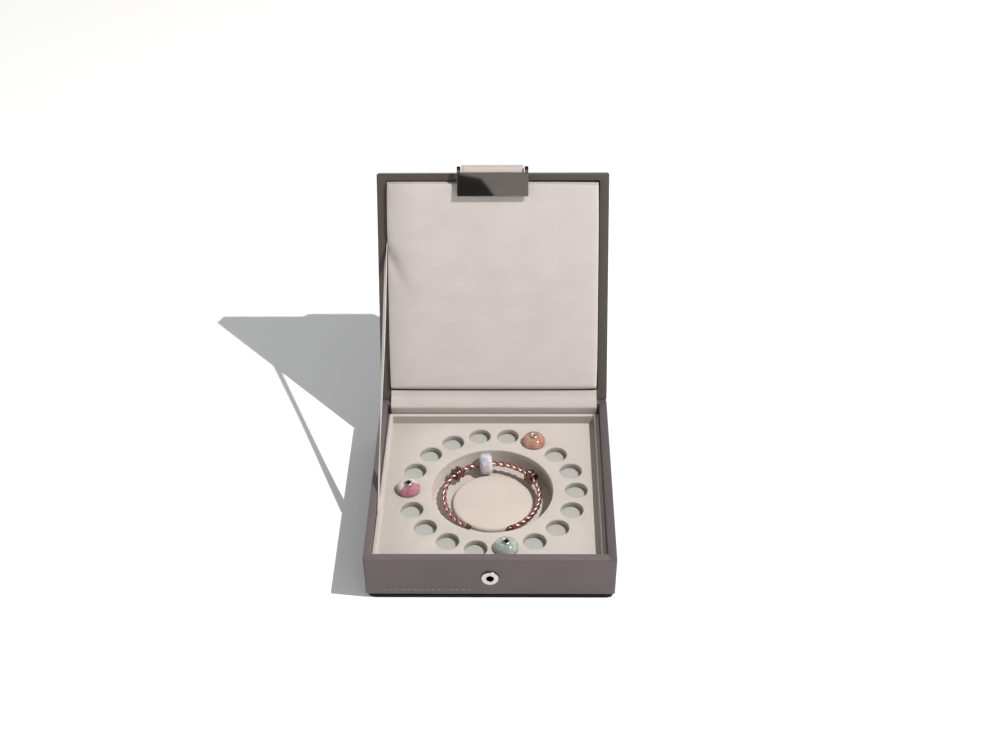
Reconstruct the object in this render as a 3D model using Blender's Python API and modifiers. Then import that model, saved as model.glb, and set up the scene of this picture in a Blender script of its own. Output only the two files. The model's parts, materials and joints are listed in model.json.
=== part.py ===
"""Charm jewelry box: a leather-covered square box with a padded lid that stands open on a ribbon
stay, a snap clasp on a soft strap, and a flocked insert with a ring of bead recesses around a
sunken channel that holds a bangle and its beads.

Metres, +Z up. The origin is the middle of the underside. The front faces -Y and the hinge is at +Y.
The lid is drawn open, as it stands by itself.
"""
import math

import bmesh
import bpy
from mathutils import Matrix, Vector

# Fits and tessellation
SEAT_GAP = 0.0003            # air left between pieces that touch
CUT_OVERRUN = 0.001          # how far a cutter runs past the face it opens
MERGE = 0.00001              # points closer than this become one
CORNER_STEPS = 4             # straight runs in a quarter corner
ROUND_STEPS = 24             # sides of a small turned piece
FINE_STEPS = 48              # sides of a large turned piece
EDGE_STEPS = 2               # facets of a rounded edge
EDGE_ANGLE = math.radians(40)

# Base
BOX_WIDTH = 0.150
BOX_DEPTH = 0.150
BOX_CORNER = 0.0024
RIM_HEIGHT = 0.0320          # floor to the top of the walls
WALL = 0.0044
WALL_EDGE = 0.0009           # rounding where the leather turns over
WALL_INSIDE_CORNER = 0.0012
COVER_THICKNESS = 0.0024     # dark board underneath
COVER_INSET = 0.0003
COVER_CORNER = 0.006
COVER_EDGE = 0.0005
FLOOR_THICKNESS = 0.0025

# Liner and insert
LINER_GAP = 0.0013           # between wall and liner, where the ribbon runs down
LINER_BACK_GAP = 0.0025      # the same at the back, where the hinge cloth runs down
LINER = 0.0016
LINER_HEIGHT = 0.0201
LINER_EDGE = 0.0004
LINER_CORNER = 0.0016
TRAY_FLOOR = 0.0010
TRAY_HEIGHT = 0.0122
TRAY_EDGE = 0.0005
RECESS_FIRST_ANGLE = math.radians(100)
RECESS_RADIUS = 0.0072
RECESS_DEPTH = 0.0043
RECESS_MARGIN = 0.0057       # tray edge to the nearest recess
RECESS_SPACING = 0.0037      # least velvet between two recesses, measured round the ring
FELT = 0.0004                # sheet that shows as the floor of every recess
WELL_MARGIN = 0.0075         # recess to the sunken well
CHANNEL_WIDTH = 0.0118       # well wall to the middle disc
DISC_HEIGHT = 0.0028
DISC_CROWN = 0.0005
DISC_EDGE = 0.0014
LIVE_EDGE_CORNER = 0.0008    # corner of a board cut with a knife

# Snap
SNAP_HEIGHT = 0.0170         # middle of the snap above the floor
SOCKET_RADIUS = 0.00515
SOCKET_FLANGE = 0.0010
SOCKET_FLANGE_EDGE = 0.0004
SOCKET_BARREL_RADIUS = 0.0032
SOCKET_BARREL_LENGTH = 0.0028
SOCKET_BORE_RADIUS = 0.0022
SOCKET_BORE_END = 0.0007     # metal left behind the bore
STUD_RADIUS = 0.0019
STUD_BASE_RADIUS = 0.0042
STUD_BASE = 0.0005
STUD_POST = 0.0014
STUD_NOSE = 0.0005
SNAP_CLEARANCE = 0.0006      # stud base to socket when the clasp is pressed home

# Lid
LID_OPENING = math.radians(115.2)
LID_HEIGHT = 0.0090
LID_CORNER = 0.0016
LID_WALL = 0.0057            # frame that shows round the pad
LID_FRONT_WALL = 0.0049
LID_TOP = 0.0024
LID_EDGE = 0.0010
PAD_BOTTOM_MARGIN = 0.0073   # hinge line to the pad
PAD_BOARD = 0.0024
PAD_BOARD_INSET = 0.0012
PAD_THICKNESS = 0.0050       # it stands proud of the frame round it
PAD_CROWN = 0.0006
PAD_CORNER_DRAW = 0.0010     # how far the sides pull in at the corners
PAD_SIDE_SHARE = 0.8         # height of its sides against its face
PAD_EDGE_POWER = 30          # how tight the roll at its edge is
PAD_CUTS = 13

# Clasp, seen in the closed lid's own frame: out is away from the front, drop is below the rim
STRAP_WIDTH = 0.0408
STRAP = 0.0010
STRAP_ANCHOR = 0.0045        # length sewn down on the lid
STRAP_ROOT_INSET = 0.0006    # free strap starts this far behind the lid's front edge
STRAP_BOW = 0.0047           # how far the free strap bows out past the lid
STRAP_TURN_GAP = 0.0014
CLASP_REST_OUT = 0.0010
CLASP_REST_DROP = 0.0038
CLASP_REST_ANGLE = math.radians(85)
CLASP_PRESS = math.radians(4.5)
TAB_LENGTH = 0.0150
TAB_CORNER = 0.0030
TAB_GAP = 0.0006
PLATE_WIDTH = 0.0462
PLATE_HEIGHT = 0.0152
PLATE = 0.0014
PLATE_EDGE = 0.0003
EAR_WIDTH = 0.0021
EAR_HEIGHT = 0.0039
STUD_DROP = 0.0080           # plate's top edge to the stud

# Hinge strips and ribbon
HINGE_STRIP = 0.0008
HINGE_LINING_WIDTH = 0.1360
HINGE_LINING_DEPTH = 0.0060  # how far it runs down behind the liner
HINGE_LINING_REACH = 0.0058  # how far it runs up the lid
HINGE_LINING_STAND = 0.0012  # how far its bend stands off the corner
SPINE_WIDTH = 0.1440
SPINE_DROP = 0.0160
SPINE_REACH = 0.0075
SPINE_FOLD = 0.0016
RIBBON_WIDTH = 0.0070
RIBBON = 0.0005
RIBBON_ON_LID = 0.1050       # hinge line to the ribbon's upper end
RIBBON_FORWARD = 0.0870      # hinge line to the ribbon's lower end
RIBBON_DEPTH = 0.0100        # how far it runs down below the rim
RIBBON_TUCK = 0.0035         # how far it runs in beside the pad
RIBBON_SLOT = 0.0011         # groove for it in the lid's frame
RIBBON_SLOT_LENGTH = 0.0230
RIBBON_SLOT_BACK = 0.0070    # ribbon's upper end to the middle of the groove

# Bangle and beads
WIRE_RADIUS = 0.00145
WIRE_POINTS = 44
BANGLE_SIDE_OFFSET = 0.0044  # disc edge to the wire at the sides
BANGLE_BACK_OFFSET = 0.0034
BANGLE_SHIFT = 0.0029        # middle of the oval behind the middle of the disc
BANGLE_LEFT_END = math.radians(-121)
BANGLE_RIGHT_END = math.radians(-64)
END_CAP_RADIUS = 0.0018
END_CAP_LENGTH = 0.0028
END_CAP_EDGE = 0.0005
CLIP_RADIUS = 0.0041
CLIP_LENGTH = 0.0060
CLIP_EDGE = 0.0010
CLIP_LEFT_ANGLE = math.radians(137)
CLIP_RIGHT_ANGLE = math.radians(33)
OPAL_ANGLE = math.radians(98)
OPAL_RADIUS = 0.0071
OPAL_LENGTH = 0.0096
OPAL_EDGE = 0.0022
BORE_CLEARANCE = 0.0004      # wire to the bead's bore
CORE = 0.0004                # wall of a bead's metal core
CORE_LIP_RADIUS = 0.0028
CORE_LIP = 0.0004
BEAD_HEIGHT = 0.0086
BEAD_OVERHANG = 0.0004       # a bead is this much wider than its recess all round, and lies on the rim
BEAD_BORE_RADIUS = 0.0017
# where the beads lie, as shares of the way round the ring
BEAD_PLACE_SHARES = {"orange": 2 / 18, "green": 9 / 18, "pink": 14 / 18}

# Finishes: colour, roughness, metallic
TAUPE_LEATHER = ((0.150, 0.125, 0.112), 0.55, 0.0)
TAUPE_LEATHER_DARK = ((0.090, 0.075, 0.068), 0.60, 0.0)
BLACK_BOARD = ((0.012, 0.012, 0.012), 0.80, 0.0)
VELVET = ((0.640, 0.570, 0.510), 0.95, 0.0)
VELVET_SHADE = ((0.560, 0.500, 0.450), 0.95, 0.0)
SAGE_FELT = ((0.480, 0.480, 0.430), 0.95, 0.0)
RIBBON_SATIN = ((0.560, 0.520, 0.480), 0.45, 0.0)
NICKEL = ((0.720, 0.700, 0.670), 0.25, 1.0)
GUNMETAL = ((0.160, 0.145, 0.135), 0.12, 1.0)
ROSE_GOLD = ((0.620, 0.280, 0.200), 0.28, 1.0)
OPAL_GLASS = ((0.620, 0.600, 0.680), 0.12, 0.0)
ORANGE_GLASS = ((0.640, 0.250, 0.170), 0.10, 0.0)
PINK_GLASS = ((0.600, 0.180, 0.300), 0.08, 0.0)
GREEN_GLASS = ((0.300, 0.430, 0.340), 0.08, 0.0)
CARD = ((0.350, 0.300, 0.250), 0.90, 0.0)

# Heights and places that follow from the sizes above
HALF_WIDTH = BOX_WIDTH / 2
HALF_DEPTH = BOX_DEPTH / 2
WALLS_BOTTOM = COVER_THICKNESS + SEAT_GAP
FLOOR_TOP = WALLS_BOTTOM + FLOOR_THICKNESS
LINER_BOTTOM = FLOOR_TOP + SEAT_GAP
LINER_TOP = LINER_BOTTOM + LINER_HEIGHT
LINER_HALF_WIDTH = HALF_WIDTH - WALL - LINER_GAP
LINER_BACK = HALF_DEPTH - WALL - LINER_BACK_GAP
LINER_HALF_DEPTH = (LINER_BACK + HALF_DEPTH - WALL - LINER_GAP) / 2
LINER_MIDDLE = LINER_BACK - LINER_HALF_DEPTH
TRAY_HALF_WIDTH = LINER_HALF_WIDTH - LINER - SEAT_GAP
TRAY_HALF_DEPTH = LINER_HALF_DEPTH - LINER - SEAT_GAP
CHANNEL_FLOOR = LINER_BOTTOM + TRAY_FLOOR
TRAY_BOTTOM = CHANNEL_FLOOR + SEAT_GAP
TRAY_TOP = TRAY_BOTTOM + TRAY_HEIGHT
TRAY_BACK = LINER_MIDDLE + TRAY_HALF_DEPTH
RING_RADIUS = min(TRAY_HALF_WIDTH, TRAY_BACK) - RECESS_MARGIN - RECESS_RADIUS
RECESS_COUNT = int(math.tau * RING_RADIUS / (2 * RECESS_RADIUS + RECESS_SPACING))
WELL_RADIUS = RING_RADIUS - RECESS_RADIUS - WELL_MARGIN
DISC_RADIUS = WELL_RADIUS - CHANNEL_WIDTH
FELT_TOP = TRAY_TOP - RECESS_DEPTH
LID_INSIDE = SEAT_GAP + LID_HEIGHT - LID_TOP
LID_BACK_OF_PAD = LID_INSIDE - SEAT_GAP - PAD_BOARD - SEAT_GAP
PAD_SIDE = HALF_WIDTH - LID_WALL - SEAT_GAP
PAD_FRONT = BOX_DEPTH - LID_FRONT_WALL - SEAT_GAP
BEAD_RADIUS = RECESS_RADIUS + BEAD_OVERHANG


# Helpers

def clear_scene():
    for thing in list(bpy.data.objects):
        bpy.data.objects.remove(thing, do_unlink=True)


def make_collection(name):
    group = bpy.data.collections.new(name)
    bpy.context.scene.collection.children.link(group)
    return group


def make_material(name, finish):
    colour, roughness, metallic = finish
    material = bpy.data.materials.new(name)
    material.use_nodes = True
    shader = material.node_tree.nodes["Principled BSDF"]
    shader.inputs["Base Color"].default_value = (*colour, 1.0)
    shader.inputs["Roughness"].default_value = roughness
    shader.inputs["Metallic"].default_value = metallic
    material.diffuse_color = (*colour, 1.0)
    return material


def add_object(name, mesh, group, finish=None, parent=None, matrix=None):
    thing = bpy.data.objects.new(name, mesh)
    group.objects.link(thing)
    if finish is not None:
        mesh.materials.append(make_material(name, finish))
    if parent is not None:
        thing.parent = parent
    if matrix is not None:
        thing.matrix_local = matrix
    return thing


def add_axis(name, group, place, angle, parent=None):
    """An empty on a joint's axis; the pieces that turn about it hang from it."""
    empty = bpy.data.objects.new(name, None)
    empty.empty_display_size = WALL
    group.objects.link(empty)
    empty.parent = parent
    empty.matrix_local = Matrix.Translation(place) @ Matrix.Rotation(angle, 4, "X")
    return empty


def mesh_from(bm, name, smooth=False):
    mesh = bpy.data.meshes.new(name)
    bm.to_mesh(mesh)
    bm.free()
    if smooth:
        mesh.shade_smooth()
        mesh.set_sharp_from_angle(angle=EDGE_ANGLE)
    return mesh


def round_edges(thing, width):
    bevel = thing.modifiers.new("edges", "BEVEL")
    bevel.width = width
    bevel.segments = EDGE_STEPS
    bevel.limit_method = "ANGLE"
    bevel.angle_limit = EDGE_ANGLE
    bevel.use_clamp_overlap = True
    return bevel


def cut(thing, cutter):
    boolean = thing.modifiers.new("cut", "BOOLEAN")
    boolean.operation = "DIFFERENCE"
    boolean.solver = "EXACT"
    boolean.object = cutter
    return boolean


def make_cutter(name, bm, group, parent=None, matrix=None):
    cutter = add_object(name, mesh_from(bm, name), group, None, parent, matrix)
    cutter.hide_render = True
    cutter.display_type = "WIRE"
    return cutter


def rounded_rectangle(half_x, half_y, radius, middle=0):
    """Corner arcs of a rectangle, anticlockwise, round a middle that may be further back in Y."""
    points = []
    corners = ((1, 1, 0), (-1, 1, 90), (-1, -1, 180), (1, -1, 270))
    for sign_x, sign_y, start in corners:
        for step in range(CORNER_STEPS + 1):
            angle = math.radians(start + 90 * step / CORNER_STEPS)
            points.append((sign_x * (half_x - radius) + radius * math.cos(angle),
                           middle + sign_y * (half_y - radius) + radius * math.sin(angle)))
    return points


def circle(radius, steps):
    angles = [2 * math.pi * step / steps for step in range(steps)]
    return [(radius * math.cos(angle), radius * math.sin(angle)) for angle in angles]


def flat_mesh(name, loops, thickness):
    """A flat outline, with holes, as a 2D curve that is thickened and made a mesh."""
    curve = bpy.data.curves.new(name, "CURVE")
    curve.dimensions = "2D"
    curve.fill_mode = "BOTH"
    curve.extrude = thickness / 2
    for loop in loops:
        spline = curve.splines.new("POLY")
        spline.points.add(len(loop) - 1)
        for point, (x, y) in zip(spline.points, loop):
            point.co = (x, y, 0, 1)
        spline.use_cyclic_u = True
    carrier = bpy.data.objects.new(name, curve)
    bpy.context.scene.collection.objects.link(carrier)
    bpy.context.view_layer.update()
    evaluated = carrier.evaluated_get(bpy.context.evaluated_depsgraph_get())
    mesh = bpy.data.meshes.new_from_object(evaluated)
    bpy.data.objects.remove(carrier, do_unlink=True)
    bpy.data.curves.remove(curve)
    bm = bmesh.new()
    bm.from_mesh(mesh)
    bpy.data.meshes.remove(mesh)
    bmesh.ops.remove_doubles(bm, verts=bm.verts, dist=MERGE)
    bmesh.ops.recalc_face_normals(bm, faces=bm.faces)
    return mesh_from(bm, name)


def add_slab(name, loops, bottom, top, group, finish, parent=None, edge=None):
    place = Matrix.Translation((0, 0, (bottom + top) / 2))
    slab = add_object(name, flat_mesh(name, loops, top - bottom), group, finish, parent, place)
    if edge is not None:
        round_edges(slab, edge)
    return slab


def add_ring_wall(name, outer, inner, bottom, top, group, finish, edge):
    """Four walls in one: two outlines bridged into a band that is drawn upwards."""
    bm = bmesh.new()
    edges = []
    for loop in (outer, inner):
        verts = [bm.verts.new((x, y, bottom)) for x, y in loop]
        edges += [bm.edges.new((verts[i - 1], verts[i])) for i in range(len(verts))]
    band = bmesh.ops.bridge_loops(bm, edges=edges)["faces"]
    raised = bmesh.ops.extrude_face_region(bm, geom=band)["geom"]
    raised_verts = [part for part in raised if isinstance(part, bmesh.types.BMVert)]
    bmesh.ops.translate(bm, verts=raised_verts, vec=(0, 0, top - bottom))
    bmesh.ops.recalc_face_normals(bm, faces=bm.faces)
    wall = add_object(name, mesh_from(bm, name), group, finish)
    round_edges(wall, edge)
    return wall


def add_strip(name, path, thickness, width, group, finish, parent=None):
    """A strip of cloth or leather: a path across it, in Y and Z, given thickness and width."""
    left, right = [], []
    for index, point in enumerate(path):
        before = path[max(index - 1, 0)]
        after = path[min(index + 1, len(path) - 1)]
        along_in = (Vector(point) - Vector(before)) if index > 0 else (Vector(after) - Vector(point))
        along_out = (Vector(after) - Vector(point)) if index < len(path) - 1 else along_in
        along_in.normalize()
        along_out.normalize()
        normal = Vector((-along_in.y - along_out.y, along_in.x + along_out.x)).normalized()
        side = Vector((-along_in.y, along_in.x))
        mitre = normal * (thickness / 2) / normal.dot(side)
        left.append((point[0] + mitre.x, point[1] + mitre.y))
        right.append((point[0] - mitre.x, point[1] - mitre.y))
    across = Matrix(((0, 0, 1), (1, 0, 0), (0, 1, 0))).to_4x4()
    outline = left + right[::-1]
    return add_object(name, flat_mesh(name, [outline], width), group, finish, parent, across)


def add_turned(name, profile, group, finish, matrix, parent=None, closed=True, steps=ROUND_STEPS):
    """A profile in radius and height, run down its outer side, turned about Z."""
    bm = bmesh.new()
    pairs = zip(profile, [profile[-1]] + profile)
    kept = [place for place, before in pairs if math.dist(place, before) > MERGE]
    verts = [bm.verts.new((radius, 0, height)) for radius, height in kept]
    for first, second in zip(verts, verts[1:]):
        bm.edges.new((first, second))
    if closed:
        bm.edges.new((verts[-1], verts[0]))
    thing = add_object(name, mesh_from(bm, name), group, finish, parent, matrix)
    screw = thing.modifiers.new("turn", "SCREW")
    screw.axis = "Z"
    screw.steps = steps
    screw.render_steps = steps
    screw.use_merge_vertices = True
    screw.merge_threshold = MERGE
    screw.use_smooth_shade = True
    return thing


def soft_arc(centre, radii, start, end, steps=CORNER_STEPS):
    """Points of a quarter round in a profile, from one angle to another."""
    points = []
    for step in range(steps + 1):
        angle = start + (end - start) * step / steps
        points.append((centre[0] + radii[0] * math.cos(angle), centre[1] + radii[1] * math.sin(angle)))
    return points


# Base

def build_base(group, cutters):
    cover = rounded_rectangle(HALF_WIDTH - COVER_INSET, HALF_DEPTH - COVER_INSET, COVER_CORNER)
    add_slab("base_cover", [cover], 0, COVER_THICKNESS, group, BLACK_BOARD, edge=COVER_EDGE)

    outer = rounded_rectangle(HALF_WIDTH, HALF_DEPTH, BOX_CORNER)
    inner = rounded_rectangle(HALF_WIDTH - WALL, HALF_DEPTH - WALL, WALL_INSIDE_CORNER)
    walls = add_ring_wall("base_walls", outer, inner, WALLS_BOTTOM, RIM_HEIGHT, group, TAUPE_LEATHER,
                          WALL_EDGE)
    bore = bmesh.new()
    bore_depth = SOCKET_BARREL_LENGTH + SEAT_GAP
    bore_length = bore_depth + CUT_OVERRUN
    bmesh.ops.create_cone(bore, cap_ends=True, segments=ROUND_STEPS, depth=bore_length,
                          radius1=SOCKET_BARREL_RADIUS + SEAT_GAP, radius2=SOCKET_BARREL_RADIUS + SEAT_GAP)
    bore_middle = -HALF_DEPTH + bore_depth - bore_length / 2
    place = Matrix.Translation((0, bore_middle, SNAP_HEIGHT)) @ Matrix.Rotation(math.pi / 2, 4, "X")
    cut(walls, make_cutter("snap_bore_cutter", bore, cutters, None, place))

    floor_half_width = HALF_WIDTH - WALL - SEAT_GAP
    floor_half_depth = HALF_DEPTH - WALL - SEAT_GAP
    floor = rounded_rectangle(floor_half_width, floor_half_depth, WALL_INSIDE_CORNER)
    add_slab("base_floor", [floor], WALLS_BOTTOM, FLOOR_TOP, group, CARD)


def build_liner(group):
    outer = rounded_rectangle(LINER_HALF_WIDTH, LINER_HALF_DEPTH, LINER_CORNER, LINER_MIDDLE)
    inner = rounded_rectangle(LINER_HALF_WIDTH - LINER, LINER_HALF_DEPTH - LINER, LIVE_EDGE_CORNER,
                              LINER_MIDDLE)
    add_ring_wall("liner_frame", outer, inner, LINER_BOTTOM, LINER_TOP, group, VELVET, LINER_EDGE)


def recess_places():
    places = []
    for index in range(RECESS_COUNT):
        angle = RECESS_FIRST_ANGLE - index * 2 * math.pi / RECESS_COUNT
        places.append((RING_RADIUS * math.cos(angle), RING_RADIUS * math.sin(angle)))
    return places


def build_tray(group):
    tray_outline = rounded_rectangle(TRAY_HALF_WIDTH, TRAY_HALF_DEPTH, LIVE_EDGE_CORNER, LINER_MIDDLE)
    add_slab("tray_floor", [tray_outline], LINER_BOTTOM, CHANNEL_FLOOR, group, VELVET_SHADE)

    well = circle(WELL_RADIUS, FINE_STEPS)
    add_slab("tray_core", [tray_outline, well], TRAY_BOTTOM, FELT_TOP - FELT - SEAT_GAP, group, VELVET_SHADE)
    add_slab("recess_felt", [tray_outline, well], FELT_TOP - FELT, FELT_TOP, group, SAGE_FELT)
    recesses = []
    for x, y in recess_places():
        recesses.append([(x + across, y + along) for across, along in circle(RECESS_RADIUS, ROUND_STEPS)])
    add_slab("charm_tray", [tray_outline, well] + recesses, FELT_TOP + SEAT_GAP, TRAY_TOP, group, VELVET)

    edge_height = DISC_HEIGHT - DISC_CROWN
    shoulder = soft_arc((DISC_RADIUS - DISC_EDGE, edge_height - DISC_EDGE), (DISC_EDGE, DISC_EDGE),
                        math.pi / 2, 0)
    profile = [(0, DISC_HEIGHT), (DISC_RADIUS / 2, edge_height + DISC_CROWN * 3 / 4)] + shoulder
    profile += [(DISC_RADIUS, 0), (0, 0)]
    add_turned("centre_disc", profile, group, VELVET, Matrix.Translation((0, 0, TRAY_BOTTOM)), closed=False,
               steps=FINE_STEPS)


def build_snap_socket(group):
    barrel_end = -SOCKET_BARREL_LENGTH
    bore_end = barrel_end + SOCKET_BORE_END
    flange_top = SEAT_GAP + SOCKET_FLANGE
    profile = [(0, bore_end), (SOCKET_BORE_RADIUS, bore_end),
               (SOCKET_BORE_RADIUS, flange_top - SOCKET_FLANGE_EDGE),
               (SOCKET_BORE_RADIUS + SOCKET_FLANGE_EDGE, flange_top)]
    profile += soft_arc((SOCKET_RADIUS - SOCKET_FLANGE_EDGE, flange_top - SOCKET_FLANGE_EDGE),
                        (SOCKET_FLANGE_EDGE, SOCKET_FLANGE_EDGE), math.pi / 2, 0, EDGE_STEPS)
    profile += [(SOCKET_RADIUS, SEAT_GAP), (SOCKET_BARREL_RADIUS, SEAT_GAP),
                (SOCKET_BARREL_RADIUS, barrel_end), (0, barrel_end)]
    face = Matrix.Translation((0, -HALF_DEPTH, SNAP_HEIGHT)) @ Matrix.Rotation(math.pi / 2, 4, "X")
    add_turned("snap_socket", profile, group, NICKEL, face, closed=False)


# Lid, drawn closed in the frame of its hinge: -Y runs to the front and +Z to the outside

def build_lid(group, cutters, hinge):
    outline = rounded_rectangle(HALF_WIDTH, HALF_DEPTH, LID_CORNER, -HALF_DEPTH)
    lid = add_slab("lid_shell", [outline], SEAT_GAP, SEAT_GAP + LID_HEIGHT, group, TAUPE_LEATHER, hinge,
                   LID_EDGE)
    pad_half_y = (PAD_FRONT - PAD_BOTTOM_MARGIN) / 2
    pad_middle = -(PAD_FRONT + PAD_BOTTOM_MARGIN) / 2
    pocket = rounded_rectangle(PAD_SIDE + SEAT_GAP, pad_half_y + SEAT_GAP, LIVE_EDGE_CORNER)
    pocket_bm = bmesh.new()
    pocket_bm.from_mesh(flat_mesh("lid_pocket", [pocket], LID_INSIDE + CUT_OVERRUN))
    pocket_middle = (LID_INSIDE - CUT_OVERRUN) / 2
    place = Matrix.Translation((0, pad_middle, pocket_middle))
    cut(lid, make_cutter("lid_pocket_cutter", pocket_bm, cutters, hinge, place))

    slot_outer = PAD_SIDE + SEAT_GAP + RIBBON_SLOT
    slot_inner = PAD_SIDE + SEAT_GAP - CUT_OVERRUN
    slot_bm = bmesh.new()
    bmesh.ops.create_cube(slot_bm, size=1)
    slot_size = (slot_outer - slot_inner, RIBBON_SLOT_LENGTH, LID_INSIDE + CUT_OVERRUN)
    bmesh.ops.scale(slot_bm, verts=slot_bm.verts, vec=slot_size)
    slot_middle = -(slot_outer + slot_inner) / 2
    place = Matrix.Translation((slot_middle, RIBBON_SLOT_BACK - RIBBON_ON_LID, pocket_middle))
    cut(lid, make_cutter("ribbon_slot_cutter", slot_bm, cutters, hinge, place))

    board = rounded_rectangle(PAD_SIDE - PAD_BOARD_INSET, pad_half_y - PAD_BOARD_INSET, LIVE_EDGE_CORNER,
                              pad_middle)
    board_top = LID_INSIDE - SEAT_GAP
    add_slab("lid_pad_board", [board], board_top - PAD_BOARD, board_top, group, CARD, hinge)
    build_lid_pad(group, hinge, PAD_SIDE, pad_half_y, pad_middle)


def build_lid_pad(group, hinge, half_x, half_y, middle):
    """A padded panel: flat at the back, crowned on the face, sides drawn in towards the corners."""
    bm = bmesh.new()
    bmesh.ops.create_cube(bm, size=1)
    bmesh.ops.subdivide_edges(bm, edges=bm.edges, cuts=PAD_CUTS, use_grid_fill=True)
    for vert in bm.verts:
        u, v, w = vert.co * 2
        spread_u = math.sin(u * math.pi / 2)
        spread_v = math.sin(v * math.pi / 2)
        bulge = (1 - spread_u ** 4) * (1 - spread_v ** 4)
        roll = 1 - max(abs(spread_u), abs(spread_v)) ** PAD_EDGE_POWER
        front_facing = (1 - w) / 2
        draw_x = PAD_CORNER_DRAW * spread_v ** 4 * front_facing
        draw_y = PAD_CORNER_DRAW * spread_u ** 4 * front_facing
        depth = PAD_THICKNESS * (PAD_SIDE_SHARE + (1 - PAD_SIDE_SHARE) * roll) + PAD_CROWN * bulge
        vert.co = (spread_u * (half_x - draw_x), spread_v * (half_y - draw_y), -front_facing * depth)
    place = Matrix.Translation((0, middle, LID_BACK_OF_PAD))
    add_object("lid_pad", mesh_from(bm, "lid_pad", smooth=True), group, VELVET, hinge, place)


# Clasp. Places are (out, up): out past the lid's front face, up from the rim, lid closed

def turned_about(point, centre, angle):
    out, up = point[0] - centre[0], point[1] - centre[1]
    return (centre[0] + out * math.cos(angle) - up * math.sin(angle),
            centre[1] + out * math.sin(angle) + up * math.cos(angle))


def turning_centre(start, end, angle):
    """The point about which a turn by the angle carries start to end."""
    reach = 2 * math.tan(angle / 2)
    across, rise = end[0] - start[0], end[1] - start[1]
    return ((start[0] + end[0]) / 2 - rise / reach, (start[1] + end[1]) / 2 + across / reach)


def clasp_places():
    """Where the strap leaves the lid, where it turns, and where the plate's top edge lies at rest."""
    root = (-STRAP_ROOT_INSET, SEAT_GAP + LID_HEIGHT + SEAT_GAP + STRAP / 2)
    pressed_out = 2 * SEAT_GAP + SOCKET_FLANGE + SNAP_CLEARANCE + STUD_BASE + STRAP / 2
    pressed = (pressed_out, SNAP_HEIGHT + STUD_DROP - RIM_HEIGHT)
    closed = turned_about(pressed, root, CLASP_PRESS)
    rest = (CLASP_REST_OUT, -CLASP_REST_DROP)
    return root, turning_centre(rest, closed, CLASP_REST_ANGLE + CLASP_PRESS), rest


def in_lid(place):
    return (0, -BOX_DEPTH - place[0], place[1])


def build_clasp(group, hinge):
    root, turn, rest = clasp_places()
    anchor_start = -BOX_DEPTH + STRAP_ROOT_INSET + STRAP_ANCHOR
    anchor_end = -BOX_DEPTH + STRAP_ROOT_INSET + SEAT_GAP
    anchor_path = [(anchor_start, root[1]), (anchor_end, root[1])]
    add_strip("strap_anchor", anchor_path, STRAP, STRAP_WIDTH, group, VELVET, hinge)

    lift_axis = add_axis("clasp_lift_axis", group, in_lid(root), 0, hinge)
    top, bow, end = root[1], STRAP_BOW, turn[1] + STRAP_TURN_GAP
    path = [(root[0] + SEAT_GAP, top), (bow * 0.50, top - STRAP), (bow * 0.86, (top * 2 + end) / 3),
            (bow, (top + end * 2) / 3), (turn[0], end)]
    local_path = [(-(out - root[0]), up - root[1]) for out, up in path]
    add_strip("clasp_strap", local_path, STRAP, STRAP_WIDTH, group, VELVET, lift_axis)

    turn_axis = add_axis("strap_turn_axis", group, (0, -(turn[0] - root[0]), turn[1] - root[1]), 0, lift_axis)
    edge_place = (0, turn[0] - rest[0], rest[1] - turn[1])
    frame = add_axis("clasp_frame", group, edge_place, CLASP_REST_ANGLE, turn_axis)
    to_turn = (turn[0] - rest[0], turn[1] - rest[1])
    build_clasp_tab(group, frame, turned_about(to_turn, (0, 0), CLASP_REST_ANGLE))


def build_clasp_tab(group, frame, turn):
    """The plate, the strap's end behind it and the stud, hanging straight down in their own frame."""
    toward_turn = Vector((-turn[0], turn[1])) * (1 - TAB_GAP / math.hypot(*turn))
    tab_path = [tuple(toward_turn), (0, 0), (0, -TAB_LENGTH)]
    add_strip("clasp_tab", tab_path, STRAP, STRAP_WIDTH, group, VELVET, frame)

    half = PLATE_WIDTH / 2
    body = rounded_rectangle(half, PLATE_HEIGHT / 2, EAR_WIDTH / 4)
    ear_tip = EAR_HEIGHT - EAR_WIDTH / 2
    outline = [(x, y - PLATE_HEIGHT / 2) for x, y in body if y < 0]
    for side in (1, -1):
        middle = side * (half - EAR_WIDTH / 2)
        inner_foot = (side * (half - EAR_WIDTH), -SEAT_GAP)
        tip = soft_arc((middle, ear_tip), (EAR_WIDTH / 2, EAR_WIDTH / 2), 0, math.pi)
        outline += (tip + [inner_foot]) if side > 0 else ([inner_foot] + tip)
    across = Matrix(((1, 0, 0), (0, 0, -1), (0, 1, 0))).to_4x4()
    plate_back = -STRAP / 2 - SEAT_GAP
    place = Matrix.Translation((0, plate_back - PLATE / 2, 0)) @ across
    plate_mesh = flat_mesh("clasp_plate", [outline], PLATE)
    plate = add_object("clasp_plate", plate_mesh, group, GUNMETAL, frame, place)
    round_edges(plate, PLATE_EDGE)

    tip = STUD_BASE + STUD_POST
    profile = [(0, tip)] + soft_arc((STUD_RADIUS - STUD_NOSE, tip - STUD_NOSE), (STUD_NOSE, STUD_NOSE),
                                    math.pi / 2, 0, EDGE_STEPS)
    profile += [(STUD_RADIUS, STUD_BASE), (STUD_BASE_RADIUS, STUD_BASE), (STUD_BASE_RADIUS, 0), (0, 0)]
    back = Matrix.Translation((0, STRAP / 2 + SEAT_GAP, -STUD_DROP)) @ Matrix.Rotation(-math.pi / 2, 4, "X")
    add_turned("snap_stud", profile, group, NICKEL, back, frame, closed=False)


# Cloth that joins base and lid, drawn as it lies with the lid open

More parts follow.
